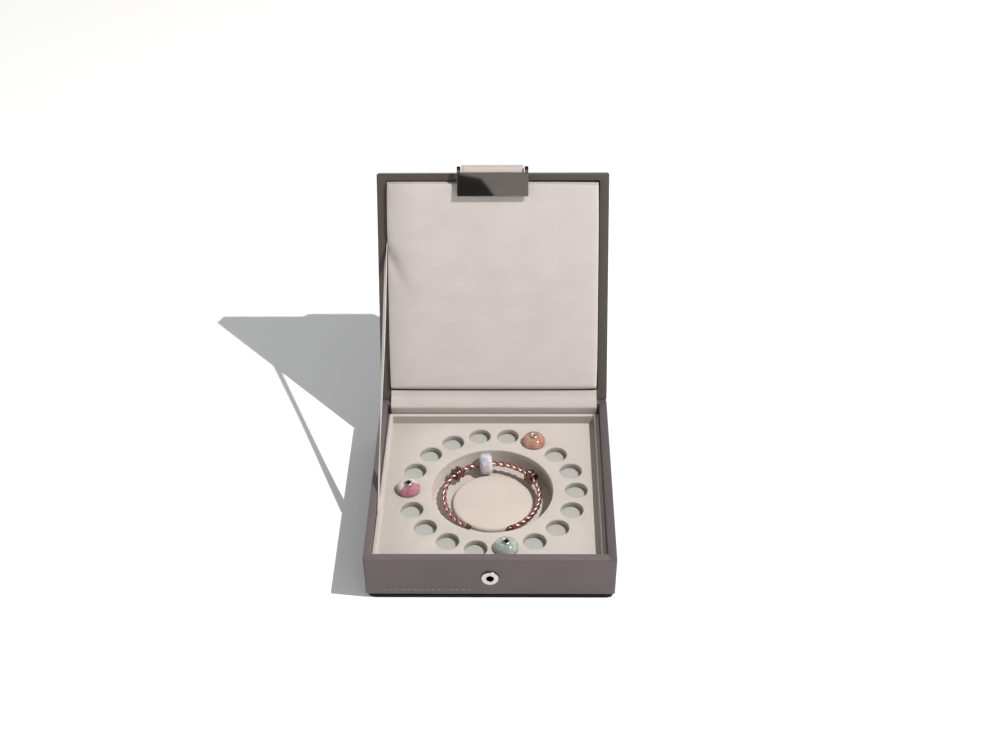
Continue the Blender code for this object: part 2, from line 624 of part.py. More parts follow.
def lid_point(from_hinge, outward):
    """A point of the open lid in Y and Z: how far up the lid, and how far out through it."""
    y = HALF_DEPTH - from_hinge * math.cos(LID_OPENING) + outward * math.sin(LID_OPENING)
    z = RIM_HEIGHT + from_hinge * math.sin(LID_OPENING) + outward * math.cos(LID_OPENING)
    return (y, z)


def build_hinge_cloth(group):
    half = HINGE_STRIP / 2
    wall_inside = HALF_DEPTH - WALL
    hang = (LINER_BACK + wall_inside) / 2
    stand = HINGE_LINING_STAND
    lid_end = lid_point(HINGE_LINING_REACH, -SEAT_GAP - half)
    lid_start = lid_point(HINGE_LINING_REACH / 2, -SEAT_GAP - stand)
    lining = [(hang, RIM_HEIGHT - WALL - HINGE_LINING_DEPTH), (hang, RIM_HEIGHT - WALL / 2),
              (hang + half, RIM_HEIGHT), (wall_inside + stand, RIM_HEIGHT + stand),
              (HALF_DEPTH - stand, RIM_HEIGHT + stand + half), lid_start, lid_end]
    add_strip("hinge_lining", lining, HINGE_STRIP, HINGE_LINING_WIDTH, group, VELVET_SHADE)

    behind = HALF_DEPTH + SEAT_GAP + half
    under = lid_point(-SEAT_GAP - half, SPINE_REACH)
    fold_low = (behind, RIM_HEIGHT - SPINE_FOLD * 2)
    fold_high = lid_point(-SEAT_GAP - half, SPINE_FOLD)
    spine = [(behind, RIM_HEIGHT - SPINE_DROP), fold_low, fold_high, under]
    add_strip("hinge_spine", spine, HINGE_STRIP, SPINE_WIDTH, group, TAUPE_LEATHER)


def build_ribbon(group):
    x_lid = -(PAD_SIDE + SEAT_GAP + RIBBON / 2)
    x_base = -(HALF_WIDTH - WALL - LINER_GAP / 2)
    y_top, z_top = lid_point(RIBBON_ON_LID, RIBBON_TUCK)
    top = Vector((x_lid, y_top, z_top))
    bottom = Vector((x_base, HALF_DEPTH - RIBBON_FORWARD, RIM_HEIGHT - RIBBON_DEPTH))
    along = (top - bottom).normalized()
    across = along.cross(Vector((1, 0, 0))).normalized()
    flat = across.cross(along)
    turn = Matrix((flat, across, along)).transposed().to_4x4()
    bm = bmesh.new()
    bmesh.ops.create_cube(bm, size=1)
    bmesh.ops.scale(bm, verts=bm.verts, vec=(RIBBON, RIBBON_WIDTH, (top - bottom).length))
    place = Matrix.Translation((top + bottom) / 2) @ turn
    add_object("ribbon_stay", mesh_from(bm, "ribbon_stay"), group, RIBBON_SATIN, None, place)


# Bangle and beads

def bangle_point(angle):
    """A point of the wire: an oval around the disc, raised at the back by the bead it carries."""
    half_x = DISC_RADIUS + BANGLE_SIDE_OFFSET
    back = DISC_RADIUS + BANGLE_BACK_OFFSET
    half_y = (back - BANGLE_SHIFT) if math.sin(angle) > 0 else (DISC_RADIUS + BANGLE_SHIFT)
    y = BANGLE_SHIFT + half_y * math.sin(angle)
    disc_edge_top = TRAY_BOTTOM + DISC_HEIGHT - DISC_CROWN
    low = disc_edge_top + WIRE_RADIUS + SEAT_GAP
    bead_reach = OPAL_RADIUS + DISC_EDGE + 2 * SEAT_GAP
    bead_over = back - (DISC_RADIUS - DISC_EDGE)
    high = disc_edge_top - DISC_EDGE + math.sqrt(bead_reach ** 2 - bead_over ** 2)
    rise = (y + DISC_RADIUS) / (back + DISC_RADIUS)
    return Vector((half_x * math.cos(angle), y, low + (high - low) * rise))


def along_bangle(angle):
    """A frame on the wire with Z along it."""
    step = math.radians(1)
    along = (bangle_point(angle + step) - bangle_point(angle - step)).normalized()
    side = along.cross(Vector((0, 0, 1))).normalized()
    turn = Matrix((side, along.cross(side), along)).transposed().to_4x4()
    return Matrix.Translation(bangle_point(angle)) @ turn


def add_bead(name, radius, length, edge, bore, group, finish, matrix, lip=True):
    """A bead with a bore, and the metal core with a lip at each end that lines it."""
    glass_bore = bore + CORE + SEAT_GAP if lip else bore
    half = length / 2 - (SEAT_GAP + CORE_LIP if lip else 0)
    profile = soft_arc((radius - edge, half - edge), (edge, edge), math.pi / 2, 0)
    profile += soft_arc((radius - edge, -half + edge), (edge, edge), 0, -math.pi / 2)
    profile += [(glass_bore, -half), (glass_bore, half)]
    add_turned(name, profile, group, finish, matrix)
    if lip:
        end = length / 2
        lip_in = end - CORE_LIP
        core = [(bore, end), (CORE_LIP_RADIUS, end), (CORE_LIP_RADIUS, lip_in), (bore + CORE, lip_in),
                (bore + CORE, -lip_in), (CORE_LIP_RADIUS, -lip_in), (CORE_LIP_RADIUS, -end), (bore, -end)]
        add_turned(name + "_core", core, group, NICKEL, matrix)


def build_bangle(group):
    start = BANGLE_RIGHT_END
    end = BANGLE_LEFT_END + 2 * math.pi
    curve = bpy.data.curves.new("bangle", "CURVE")
    curve.dimensions = "3D"
    curve.bevel_depth = WIRE_RADIUS
    curve.bevel_resolution = 2
    curve.use_fill_caps = True
    spline = curve.splines.new("POLY")
    spline.points.add(WIRE_POINTS - 1)
    for index, point in enumerate(spline.points):
        angle = start + (end - start) * index / (WIRE_POINTS - 1)
        point.co = (*bangle_point(angle), 1)
    add_object("bangle", curve, group, ROSE_GOLD)

    for side, angle, sign in (("right", start, -1), ("left", end, 1)):
        first, last = sign * SEAT_GAP, sign * (SEAT_GAP + END_CAP_LENGTH)
        low, high = min(first, last), max(first, last)
        profile = [(0, high)] + soft_arc((END_CAP_RADIUS - END_CAP_EDGE, high - END_CAP_EDGE),
                                         (END_CAP_EDGE, END_CAP_EDGE), math.pi / 2, 0, EDGE_STEPS)
        profile += soft_arc((END_CAP_RADIUS - END_CAP_EDGE, low + END_CAP_EDGE), (END_CAP_EDGE, END_CAP_EDGE),
                            0, -math.pi / 2, EDGE_STEPS) + [(0, low)]
        add_turned("bangle_cap_" + side, profile, group, ROSE_GOLD, along_bangle(angle), closed=False)

    wire_bore = WIRE_RADIUS + BORE_CLEARANCE
    add_bead("opal_bead", OPAL_RADIUS, OPAL_LENGTH, OPAL_EDGE, wire_bore, group, OPAL_GLASS,
             along_bangle(OPAL_ANGLE))
    for name, angle in (("clip_bead_left", CLIP_LEFT_ANGLE), ("clip_bead_right", CLIP_RIGHT_ANGLE)):
        add_bead(name, CLIP_RADIUS, CLIP_LENGTH, CLIP_EDGE, wire_bore, group, ROSE_GOLD,
                 along_bangle(angle), lip=False)


def build_recess_beads(group):
    finishes = {"orange": ORANGE_GLASS, "green": GREEN_GLASS, "pink": PINK_GLASS}
    places = recess_places()
    edge = BEAD_HEIGHT / 2 - SEAT_GAP - CORE_LIP
    from_ring = RECESS_RADIUS - (BEAD_RADIUS - edge)
    height = TRAY_TOP + math.sqrt((edge + SEAT_GAP) ** 2 - from_ring ** 2)
    for colour, place_share in BEAD_PLACE_SHARES.items():
        x, y = places[int(place_share * RECESS_COUNT + 0.5) % RECESS_COUNT]
        place = Matrix.Translation((x, y, height))
        add_bead("bead_" + colour, BEAD_RADIUS, BEAD_HEIGHT, edge, BEAD_BORE_RADIUS, group,
                 finishes[colour], place)


def main():
    clear_scene()
    group = make_collection("charm_jewelry_box")
    cutters = make_collection("cutters")
    hinge = add_axis("lid_hinge_axis", group, (0, HALF_DEPTH, RIM_HEIGHT), -LID_OPENING)
    build_base(group, cutters)
    build_liner(group)
    build_tray(group)
    build_snap_socket(group)
    build_lid(group, cutters, hinge)
    build_clasp(group, hinge)
    build_hinge_cloth(group)
    build_ribbon(group)
    build_bangle(group)
    build_recess_beads(group)


main()
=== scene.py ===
"""Looks for the charm jewelry box: leather, velvet, metal and glass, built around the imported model."""
import json
import math

import bmesh
import bpy
from bpy.props import FloatProperty, FloatVectorProperty, IntProperty, PointerProperty
from mathutils import Matrix, Vector
from mathutils.kdtree import KDTree


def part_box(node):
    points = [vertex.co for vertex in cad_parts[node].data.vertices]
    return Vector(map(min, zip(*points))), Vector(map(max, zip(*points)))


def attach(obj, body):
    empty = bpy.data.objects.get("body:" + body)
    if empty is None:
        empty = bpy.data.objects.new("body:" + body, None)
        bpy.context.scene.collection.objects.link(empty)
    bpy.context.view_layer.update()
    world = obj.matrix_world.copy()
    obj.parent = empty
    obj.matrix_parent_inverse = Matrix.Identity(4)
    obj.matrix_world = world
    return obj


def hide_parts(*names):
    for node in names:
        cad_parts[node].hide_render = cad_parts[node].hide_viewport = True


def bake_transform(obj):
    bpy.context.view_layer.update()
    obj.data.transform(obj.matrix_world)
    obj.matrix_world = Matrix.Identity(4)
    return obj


bl_info = {
    "name": "Charm Jewelry Box",
    "version": (1, 0, 0),
    "blender": (4, 5, 0),
    "location": "View3D > Sidebar > Charm Box",
    "description": "Builds the leather, velvet, metal and glass pieces of a charm jewelry box",
    "category": "Object",
}

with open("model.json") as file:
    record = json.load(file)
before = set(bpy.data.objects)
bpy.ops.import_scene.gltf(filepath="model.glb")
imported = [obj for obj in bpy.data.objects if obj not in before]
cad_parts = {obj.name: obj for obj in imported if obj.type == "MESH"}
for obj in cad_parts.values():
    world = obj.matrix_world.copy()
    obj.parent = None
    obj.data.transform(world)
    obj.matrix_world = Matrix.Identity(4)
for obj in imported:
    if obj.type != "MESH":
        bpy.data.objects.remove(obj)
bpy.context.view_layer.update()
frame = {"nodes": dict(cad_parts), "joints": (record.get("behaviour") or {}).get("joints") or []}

# Lengths are in metres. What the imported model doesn't tell was read from the photograph.
LID_ANGLE = math.radians(115.2)
HINGE = Vector((0, 0.075, 0.032))
LID_OPEN = Matrix.Translation(HINGE) @ Matrix.Rotation(-LID_ANGLE, 4, "X") @ Matrix.Translation(-HINGE)
LID_CLOSED = LID_OPEN.inverted()
LID_FRONT, LID_BACK = -0.0754, 0.0755
LID_HALF = 0.0754
RIM = 0.0320
LID_UNDER = 0.0323
WALLS_LOW, WALLS_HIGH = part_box("base_walls")
WALL = 0.0044
INSIDE = WALLS_HIGH[0] - WALL   # from the middle to the inner face of the base's walls
TRAY_LOW, TRAY_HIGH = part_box("charm_tray")
DISC_LOW, DISC_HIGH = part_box("centre_disc")
LINER_LOW, LINER_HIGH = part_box("liner_frame")
FLOOR_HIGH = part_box("tray_floor")[1]
LINING_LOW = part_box("hinge_lining")[0]
WELL_RADIUS = 0.0386
RING_RADIUS = 0.0533
RECESS_RADIUS = 0.0072
RECESS_COUNT = 18
FIRST_RECESS = 100   # degrees round from the right, and the others follow clockwise
DISC_RADIUS = (DISC_HIGH[0] - DISC_LOW[0]) / 2
LAMP_STRENGTH = 39.2
ZENITH, HORIZON = 0.15, 1.13
SNAP_CENTRE = Vector((0, -0.075, 0.0170))
WHITE = (1, 1, 1)
LEVEL = 0.00001      # heights that differ by less than this are level
CLEAR = 0.01         # how far a cutter runs past the piece that it cuts
SEED = 0.001         # the plane that is merged into one starting point
MIX_COLOURS, MIX_RESULT = slice(6, 8), 2   # colour sockets of a Mix node


def linear(red, green, blue):
    """A colour as it shows on screen, 0 to 255, turned into linear light."""
    values = []
    for channel in (red, green, blue):
        value = channel / 255
        values.append(value / 12.92 if value <= 0.04045 else ((value + 0.055) / 1.055) ** 2.4)
    return tuple(values)


def colour_property(name, description, red, green, blue):
    return FloatVectorProperty(name=name, description=description, subtype="COLOR", size=3, min=0, max=1,
                               default=linear(red, green, blue))


def length_property(name, description, default):
    return FloatProperty(name=name, description=description, subtype="DISTANCE", unit="LENGTH", min=0,
                         precision=5, default=default)


class CharmBoxColours(bpy.types.PropertyGroup):
    leather: colour_property("Leather", "Taupe leather of the base", 98, 87, 88)
    lid_leather: colour_property("Lid leather", "Taupe leather of the lid", 101, 93, 89)
    velvet: colour_property("Velvet", "Velvet of the tray, the liner and the disc", 196, 188, 181)
    pad: colour_property("Pad", "Brushed cloth of the lid's pad and hinge", 193, 184, 180)
    felt: colour_property("Felt", "Floor of the recesses", 179, 177, 173)
    strap: colour_property("Strap", "Leather of the clasp's strap", 193, 183, 177)
    thread: colour_property("Thread", "Stitching round the base", 138, 129, 122)
    board: colour_property("Board", "Cover board underneath", 15, 14, 15)
    ribbon: colour_property("Ribbon", "Satin of the ribbon stay", 190, 184, 177)
    rose_gold: colour_property("Rose gold", "Bangle and clips", 184, 138, 129)
    gunmetal: colour_property("Gunmetal", "Clasp plate", 138, 130, 124)
    nickel: colour_property("Nickel", "Snap and bead cores", 205, 202, 198)


class CharmBoxSizes(bpy.types.PropertyGroup):
    stitch_pitch: length_property("Stitch pitch", "Length of one stitch and the gap after it", 0.0036)
    stitch_height: length_property("Stitch height", "Stitched line above the underside", 0.0067)
    pucker: length_property("Pucker", "Depth of the small waves along the pad's edge", 0.00016)
    tray_edge: length_property("Tray edge", "Rounding of the velvet over each recess edge", 0.0005)
    twist: length_property("Twist", "Length of one full turn of the bangle's strands", 0.0092)
    strands: IntProperty(name="Strands", description="Strands twisted into the bangle",
                         min=2, max=8, default=2)


def colours():
    return bpy.context.scene.charm_box_colours


def sizes():
    return bpy.context.scene.charm_box_sizes


# Shader maths

class Value:
    """A shader socket that adds Math nodes when it is used in an expression."""

    def __init__(self, finish, socket):
        self.finish = finish
        self.socket = socket

    def maths(self, operation, *values):
        return self.finish.node("ShaderNodeMath", {"operation": operation}, values)

    def __add__(self, other):
        return self.maths("ADD", self, other)

    def __sub__(self, other):
        return self.maths("SUBTRACT", self, other)

    def __rsub__(self, other):
        return self.maths("SUBTRACT", other, self)

    def __mul__(self, other):
        return self.maths("MULTIPLY", self, other)

    def __truediv__(self, other):
        return self.maths("DIVIDE", self, other)

    def __rtruediv__(self, other):
        return self.maths("DIVIDE", other, self)

    def __abs__(self):
        return self.maths("ABSOLUTE", self)

    def power(self, other):
        return self.maths("POWER", self, other)

    def above(self, other):
        return self.maths("GREATER_THAN", self, other)

    def below(self, other):
        return self.maths("LESS_THAN", self, other)

    def smaller(self, other):
        return self.maths("MINIMUM", self, other)

    def larger(self, other):
        return self.maths("MAXIMUM", self, other)

    def wave(self):
        return self.maths("SINE", self)

    def ramp(self, start, end):
        """0 before start, 1 after end, and smooth between them."""
        return self.finish.node("ShaderNodeMapRange", {"interpolation_type": "SMOOTHSTEP"},
                                {"Value": self, "From Min": start, "From Max": end})

    __radd__ = __add__
    __rmul__ = __mul__


class Nodes:
    """A node tree that is built from expressions."""

    def __init__(self, tree):
        self.tree = tree

    def node(self, kind, settings=None, inputs=(), output=0):
        node = self.tree.nodes.new(kind)
        for key, value in (settings or {}).items():
            setattr(node, key, value)
        pairs = inputs.items() if isinstance(inputs, dict) else enumerate(inputs)
        for socket, value in pairs:
            if isinstance(value, Value):
                self.tree.links.new(value.socket, node.inputs[socket])
            else:
                node.inputs[socket].default_value = value
        return Value(self, node.outputs[output])

    def axes(self, place):
        split = self.node("ShaderNodeSeparateXYZ", inputs=[place]).socket.node
        return [Value(self, socket) for socket in split.outputs]


class Finish(Nodes):
    """One material round a Principled shader. Numbers that stay the same are set on its sockets."""

    def __init__(self, name, roughness, **constants):
        self.material = bpy.data.materials.new(name)
        self.material.use_nodes = True
        super().__init__(self.material.node_tree)
        self.shader = self.tree.nodes["Principled BSDF"]
        self.shader.inputs["Roughness"].default_value = roughness
        for socket, value in constants.items():
            self.shader.inputs[socket.replace("_", " ").title().replace("Ior", "IOR")].default_value = value

    def place(self, turned_with_lid=False):
        """Object coordinates, or those of the lid as if it were closed."""
        place = self.node("ShaderNodeTexCoord", output="Object")
        if not turned_with_lid:
            return place
        return self.node("ShaderNodeMapping", inputs={"Vector": place, "Location": LID_CLOSED.to_translation(),
                                                      "Rotation": LID_CLOSED.to_euler()})

    def stretched(self, place, x, y, z):
        return self.node("ShaderNodeMapping", inputs={"Vector": place, "Scale": (x, y, z)})

    def noise(self, place, scale, detail=3, roughness=0.55, distortion=0):
        return self.node("ShaderNodeTexNoise", inputs={"Vector": place, "Scale": scale, "Detail": detail,
                                                       "Roughness": roughness, "Distortion": distortion})

    def cells(self, place, scale, feature="F1"):
        return self.node("ShaderNodeTexVoronoi", {"feature": feature}, {"Vector": place, "Scale": scale})

    def set_colour(self, socket, value):
        """Links a socket to a colour that varies, or gives it one that doesn't."""
        if isinstance(value, Value):
            self.tree.links.new(value.socket, socket)
        else:
            socket.default_value = (*value[:3], 1)

    def mix(self, share, first, second):
        node = self.node("ShaderNodeMix", {"data_type": "RGBA"}, {0: share}).socket.node
        for socket, value in zip(node.inputs[MIX_COLOURS], (first, second)):
            self.set_colour(socket, value)
        return Value(self, node.outputs[MIX_RESULT])

    def colour(self, value):
        self.set_colour(self.shader.inputs["Base Color"], value)

    def roughness(self, value):
        self.tree.links.new(value.socket, self.shader.inputs["Roughness"])

    def relief(self, height, depth, strength=1.0):
        bump = self.node("ShaderNodeBump", inputs={"Strength": strength, "Distance": depth, "Height": height},
                         output="Normal")
        self.tree.links.new(bump.socket, self.shader.inputs["Normal"])


def from_axis(across, up):
    """How far a point lies from an axis, told by its two offsets."""
    return (across * across + up * up).power(0.5)


def shade(colour, factor):
    return tuple(min(1, channel * factor) for channel in colour)


def tinted(colour, red, green, blue):
    return (colour[0] * red, colour[1] * green, colour[2] * blue)


def leather_finish(name, colour, inner_x, inner_y, lid=False):
    """Fine grained leather, with the folded seam that runs out over each corner."""
    seam_core, seam_edge, lap_width, lap_edge = 0.00008, 0.00040, 0.0016, 0.0018
    finish = Finish(name, 0.5, specular_ior_level=0.45)
    place = finish.place(lid)
    x, y, z = finish.axes(place)
    pebbles = finish.cells(place, 1500, "SMOOTH_F1")
    creases = finish.noise(place, 900, 4, 0.6)
    broad = finish.noise(place, 22, 3)
    across, along = abs(x) - inner_x, abs(y) - inner_y
    corner = across.smaller(along).above(0)
    off_seam = across - along
    seam = (1 - abs(off_seam).ramp(seam_core, seam_edge)) * corner
    lap = off_seam.ramp(0, lap_width) * (1 - off_seam.ramp(lap_width, lap_edge)) * corner
    tone = finish.mix(broad.ramp(0.3, 0.7), shade(colour, 0.93), shade(colour, 1.06))
    tone = finish.mix(pebbles.ramp(0.2, 0.75) * 0.35, tone, shade(colour, 0.72))
    tone = finish.mix(creases.ramp(0.62, 0.75) * 0.25, tone, shade(colour, 1.5))
    if lid:
        face = z.below(LID_UNDER + 0.0006)
        under = tinted(colour, 0.46, 0.43, 0.41)
        tone = finish.mix(face, tone, finish.mix(creases.ramp(0.3, 0.7), under, shade(under, 1.1)))
        seam = seam * 0.2
    else:
        # the base's leather also gets painted light and shade along its rim and above the snap
        tone = base_shading(finish, colour, tone, x, y, z)
    finish.colour(finish.mix(seam * 0.75, tone, shade(colour, 0.35)))
    finish.roughness(creases * 0.25 + 0.40)
    finish.relief((1 - pebbles) * 0.35 + creases * 0.3 - seam * 2.2 + lap, 0.00010, 0.8)
    return finish.material


def base_shading(finish, colour, tone, x, y, z):
    """Painted light and shade on the base's leather: painted shade in the fold under the rim, a painted
    highlight on its top edge, painted shade on the rim and painted light on the inner face at the right, and a
    painted shadow above the snap."""
    over_rim, over_snap = z - RIM, z - SNAP_CENTRE.z
    fold_depth, fold_half, fold_end, highlight_depth, shaded_depth = 0.0012, 0.0006, 0.0004, 0.0004, 0.0010
    over_fold = over_rim + fold_depth
    # painted shade in the fold under the rim, then a painted highlight along the rim's top edge
    fold = over_fold.ramp(-fold_half, 0) * (1 - over_fold.ramp(0, fold_end))
    tone = finish.mix(fold * 0.5, tone, shade(colour, 0.6))
    painted_rim_highlight = (over_rim + highlight_depth).ramp(0, highlight_depth)
    tone = finish.mix(painted_rim_highlight * 0.014, tone, WHITE)
    # painted shade on the rim at the right, and painted light on the inner face below it
    right_rim = (over_rim + shaded_depth).ramp(0, fold_half) * x.above(INSIDE - 0.0004)
    tone = finish.mix(right_rim * 0.6, tone, shade(colour, 0.6))
    right_inside = x.above(INSIDE - 0.0006) * x.below(INSIDE + 0.0006) * abs(y).below(INSIDE + 0.0002)
    below_edge = (RIM - fold_half - z).ramp(0, highlight_depth)
    tone = finish.mix(right_inside * below_edge * 0.22, tone, WHITE)
    # painted shadow above the snap's ring
    beside_snap = from_axis(x, over_snap).ramp(0.0051, 0.0064)
    upper_front = over_snap.ramp(-0.001, 0.003) * y.below(0)
    return finish.mix((1 - beside_snap) * upper_front * 0.75, tone, shade(colour, 0.25))


def velvet_finish(name, colour, lid=False, nap=60, painted_shade=None):
    """Short pile: fine speckle, a soft drift of the nap, and a bright edge at a low angle. Where it is given,
    painted_shade is a function of the place that tells how far painted shade darkens the velvet there."""
    finish = Finish(name, 0.95, sheen_weight=0.25, sheen_roughness=0.4, specular_ior_level=0.1)
    finish.shader.inputs["Sheen Tint"].default_value = (*shade(colour, 1.4), 1)
    place = finish.place(lid)
    pile = finish.noise(place, 3200, 2, 0.7)
    drift = finish.noise(finish.stretched(place, 1, 1.6, 1), nap, 4, 0.6)
    blotch = finish.noise(place, 14, 2)
    tone = finish.mix(drift.ramp(0.3, 0.7), shade(colour, 0.955), shade(colour, 1.035))
    tone = finish.mix(pile.ramp(0.35, 0.7) * 0.5, tone, shade(colour, 0.86))
    tone = finish.mix(blotch.ramp(0.35, 0.7) * 0.4, tone, shade(colour, 1.05))
    if painted_shade is not None:
        tone = finish.mix(painted_shade(*finish.axes(place)), tone, shade(colour, 0.5))
    finish.colour(tone)
    finish.roughness(pile * 0.1 + 0.88)
    finish.relief(pile * 0.8 + drift * 0.4, 0.00012, 0.6)
    return finish.material


def felt_finish(name, colour):
    """Matted fibres with a few thicker tufts."""
    finish = Finish(name, 0.97, sheen_weight=0.15, specular_ior_level=0.1)
    place = finish.place()
    fibres = finish.noise(finish.stretched(place, 1, 2.5, 1), 2400, 4, 0.7, 1.5)
    tufts = finish.noise(place, 420, 3)
    tone = finish.mix(fibres.ramp(0.35, 0.65), shade(colour, 0.88), shade(colour, 1.08))
    finish.colour(finish.mix(tufts.ramp(0.4, 0.7) * 0.3, tone, shade(colour, 0.92)))
    finish.relief(fibres + tufts * 0.4, 0.00012, 0.6)
    return finish.material


def ribbon_finish(name, colour):
    """Satin ribbon: fine ribs across it and a thicker woven edge."""
    finish = Finish(name, 0.42, sheen_weight=0.3, anisotropic=0.4)
    place = finish.place()
    y, z = finish.axes(place)[1:]
    along = y * 0.793 + z * 0.609
    ribs = (along * 9000).wave()
    slub = finish.noise(place, 500, 3)
    finish.colour(finish.mix(slub.ramp(0.35, 0.65), shade(colour, 0.94), shade(colour, 1.05)))
    finish.roughness(slub * 0.2 + 0.35)
    finish.relief(ribs * 0.5 + slub * 0.5, 0.00006, 0.6)
    return finish.material


def metal_finish(name, colour, roughness, scratch=0.08, relief=0.25, dark=None):
    """Brushed metal with a slight cloud. Where it is given, dark is a function of the place that darkens it."""
    finish = Finish(name, roughness, metallic=1.0)
    place = finish.place()
    hair = finish.noise(finish.stretched(place, 1, 7, 1), 1600, 3, 0.6)
    cloud = finish.noise(place, 180, 3)
    tone = finish.mix(cloud.ramp(0.35, 0.7) * 0.25, colour, shade(colour, 0.78))
    if dark is not None:
        tone = finish.mix(dark(*finish.axes(place)), tone, shade(colour, 0.12))
    finish.colour(tone)
    finish.roughness(hair * scratch * 2 + (roughness - scratch))
    if relief > 0:
        finish.relief(hair, 0.00002, relief)
    return finish.material


def board_finish(name, colour):
    """Plain board: fine fibres and a few scuffs."""
    finish = Finish(name, 0.6, specular_ior_level=0.15)
    place = finish.place()
    fibre = finish.noise(place, 1800, 4, 0.65)
    scuff = finish.noise(place, 120, 3)
    tone = finish.mix(fibre.ramp(0.4, 0.75), shade(colour, 0.85), shade(colour, 1.6))
    finish.colour(finish.mix(scuff.ramp(0.62, 0.8) * 0.3, tone, shade(colour, 2.6)))
    finish.roughness(fibre * 0.3 + 0.45)
    finish.relief(fibre, 0.00005, 0.5)
    return finish.material


# Modelling by hand

def share(value, start, end):
    """How far a number has come from start to end, from 0 to 1."""
    return min(1, max(0, (value - start) / (end - start)))


def clear_selection():
    if bpy.context.mode != "OBJECT":
        bpy.ops.object.mode_set(mode="OBJECT")
    bpy.ops.object.select_all(action="DESELECT")


def named(name):
    piece = bpy.context.object
    piece.name = name
    piece.data.name = name
    return piece


def make_active(piece):
    clear_selection()
    piece.select_set(True)
    bpy.context.view_layer.objects.active = piece


def start_edit(piece):
    make_active(piece)
    bpy.ops.object.mode_set(mode="EDIT")
    bpy.context.tool_settings.mesh_select_mode = (True, False, False)


def end_edit():
    bpy.ops.object.mode_set(mode="OBJECT")


def select_all():
    bpy.ops.mesh.select_all(action="SELECT")


def pick_edges(piece, test):
    """Selects the edges whose two ends pass the test."""
    bpy.context.tool_settings.mesh_select_mode = (False, True, False)
    bpy.ops.mesh.select_all(action="DESELECT")
    bm = bmesh.from_edit_mesh(piece.data)
    for edge in bm.edges:
        edge.select_set(test(edge.verts[0].co, edge.verts[1].co))
    bmesh.update_edit_mesh(piece.data)


def apply_modifier(piece, kind, **settings):
    make_active(piece)
    modifier = piece.modifiers.new(kind.lower(), kind)
    for key, value in settings.items():
        setattr(modifier, key, value)
    bpy.ops.object.modifier_apply(modifier=modifier.name)


def settle(piece, matrix=None):
    """Puts the piece's place into its mesh and leaves the object at the origin."""
    if matrix is not None:
        piece.matrix_world = matrix @ piece.matrix_world
    make_active(piece)
    bpy.ops.object.transform_apply(location=True, rotation=True, scale=True)


def smooth(piece, angle=35):
    make_active(piece)
    bpy.ops.object.shade_smooth_by_angle(angle=math.radians(angle))


def dress(piece, material, body, *nodes, slot=None):
    """Gives a finished piece its material, its body and the plain solids that it stands for."""
    piece.data.materials.clear()
    piece.data.materials.append(material)
    if body is not None:
        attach(piece, body)
    if nodes:
        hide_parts(*nodes)
    return piece


def repaint(node, material):
    mesh = frame["nodes"][node].data
    mesh.materials.clear()
    mesh.materials.append(material)


def block(name, low, high):
    clear_selection()
    low, high = Vector(low), Vector(high)
    bpy.ops.mesh.primitive_cube_add(size=1, location=(low + high) / 2)
    piece = named(name)
    piece.scale = high - low
    settle(piece)
    return piece


def upright(start, end):
    return abs(start.z - end.z) > 0.0005 and (start.xy - end.xy).length < LEVEL


def along_y(start, end):
    return abs(start.y - end.y) > 0.0005


def across_y(start, end):
    return abs(start.y - end.y) < LEVEL


def bevel_edges(piece, test, offset, segments):
    pick_edges(piece, test)
    bpy.ops.mesh.bevel(offset=offset, segments=segments, affect="EDGES", profile=0.5)


def rounded_block(name, low, high, corner, edge):
    """A block with rounded upright corners and softened top and bottom edges."""
    def on_top_or_bottom(start, end):
        level = abs(start.z - end.z) < LEVEL
        return level and min(abs(start.z - low[2]), abs(start.z - high[2])) < LEVEL

    piece = block(name, low, high)
    start_edit(piece)
    bevel_edges(piece, upright, corner, 6)
    bevel_edges(piece, on_top_or_bottom, edge, 3)
    end_edit()
    return piece


def cut_out(piece, cutter):
    """Takes the cutter's shape out of a piece."""
    apply_modifier(piece, "BOOLEAN", operation="DIFFERENCE", solver="EXACT", object=cutter)
    bpy.data.objects.remove(cutter, do_unlink=True)


def pocket(piece, low, high, corner):
    """Cuts a block with rounded upright corners out of a piece."""
    cutter = block("cutter", low, high)
    start_edit(cutter)
    bevel_edges(cutter, upright, corner, 4)
    end_edit()
    cut_out(piece, cutter)


def soften_rim(piece, low, high, level, width):
    """Rounds the edge of a pocket where it opens at a level."""
    slack = 0.00002

    def on_rim(point):
        return (abs(point.z - level) < slack / 2 and low[0] - slack < point.x < high[0] + slack
                and low[1] - slack < point.y < high[1] + slack)

    start_edit(piece)
    bevel_edges(piece, lambda start, end: on_rim(start) and on_rim(end), width, 4)
    end_edit()


def starting_point(name, place):
    """A new piece of one point, in edit mode."""
    clear_selection()
    bpy.ops.mesh.primitive_plane_add(size=SEED)
    piece = named(name)
    start_edit(piece)
    bpy.ops.mesh.merge(type="CENTER")
    bpy.ops.transform.translate(value=place)
    return piece


def extrude_through(places):
    """Extrudes what is selected from each place to the next."""
    for before, after in zip(places, places[1:]):
        step = tuple(end - start for start, end in zip(before, after))
        bpy.ops.mesh.extrude_region_move(TRANSFORM_OT_translate={"value": step})


def face_outwards(doubles=None):
    """Merges points that lie on each other, turns every face outwards and ends the edit."""
    select_all()
    if doubles is not None:
        bpy.ops.mesh.remove_doubles(threshold=doubles)
    bpy.ops.mesh.normals_make_consistent(inside=False)
    end_edit()


def turned(name, profile, matrix=None, steps=64):
    """A point is extruded through a profile of radius and height, and spun about Z."""
    places = [(radius, 0, height) for radius, height in profile]
    piece = starting_point(name, places[0])
    extrude_through(places)
    select_all()
    bpy.ops.mesh.spin(steps=steps, angle=2 * math.pi, center=(0, 0, 0), axis=(0, 0, 1))
    face_outwards(0.000002)
    settle(piece, matrix)
    smooth(piece)
    return piece


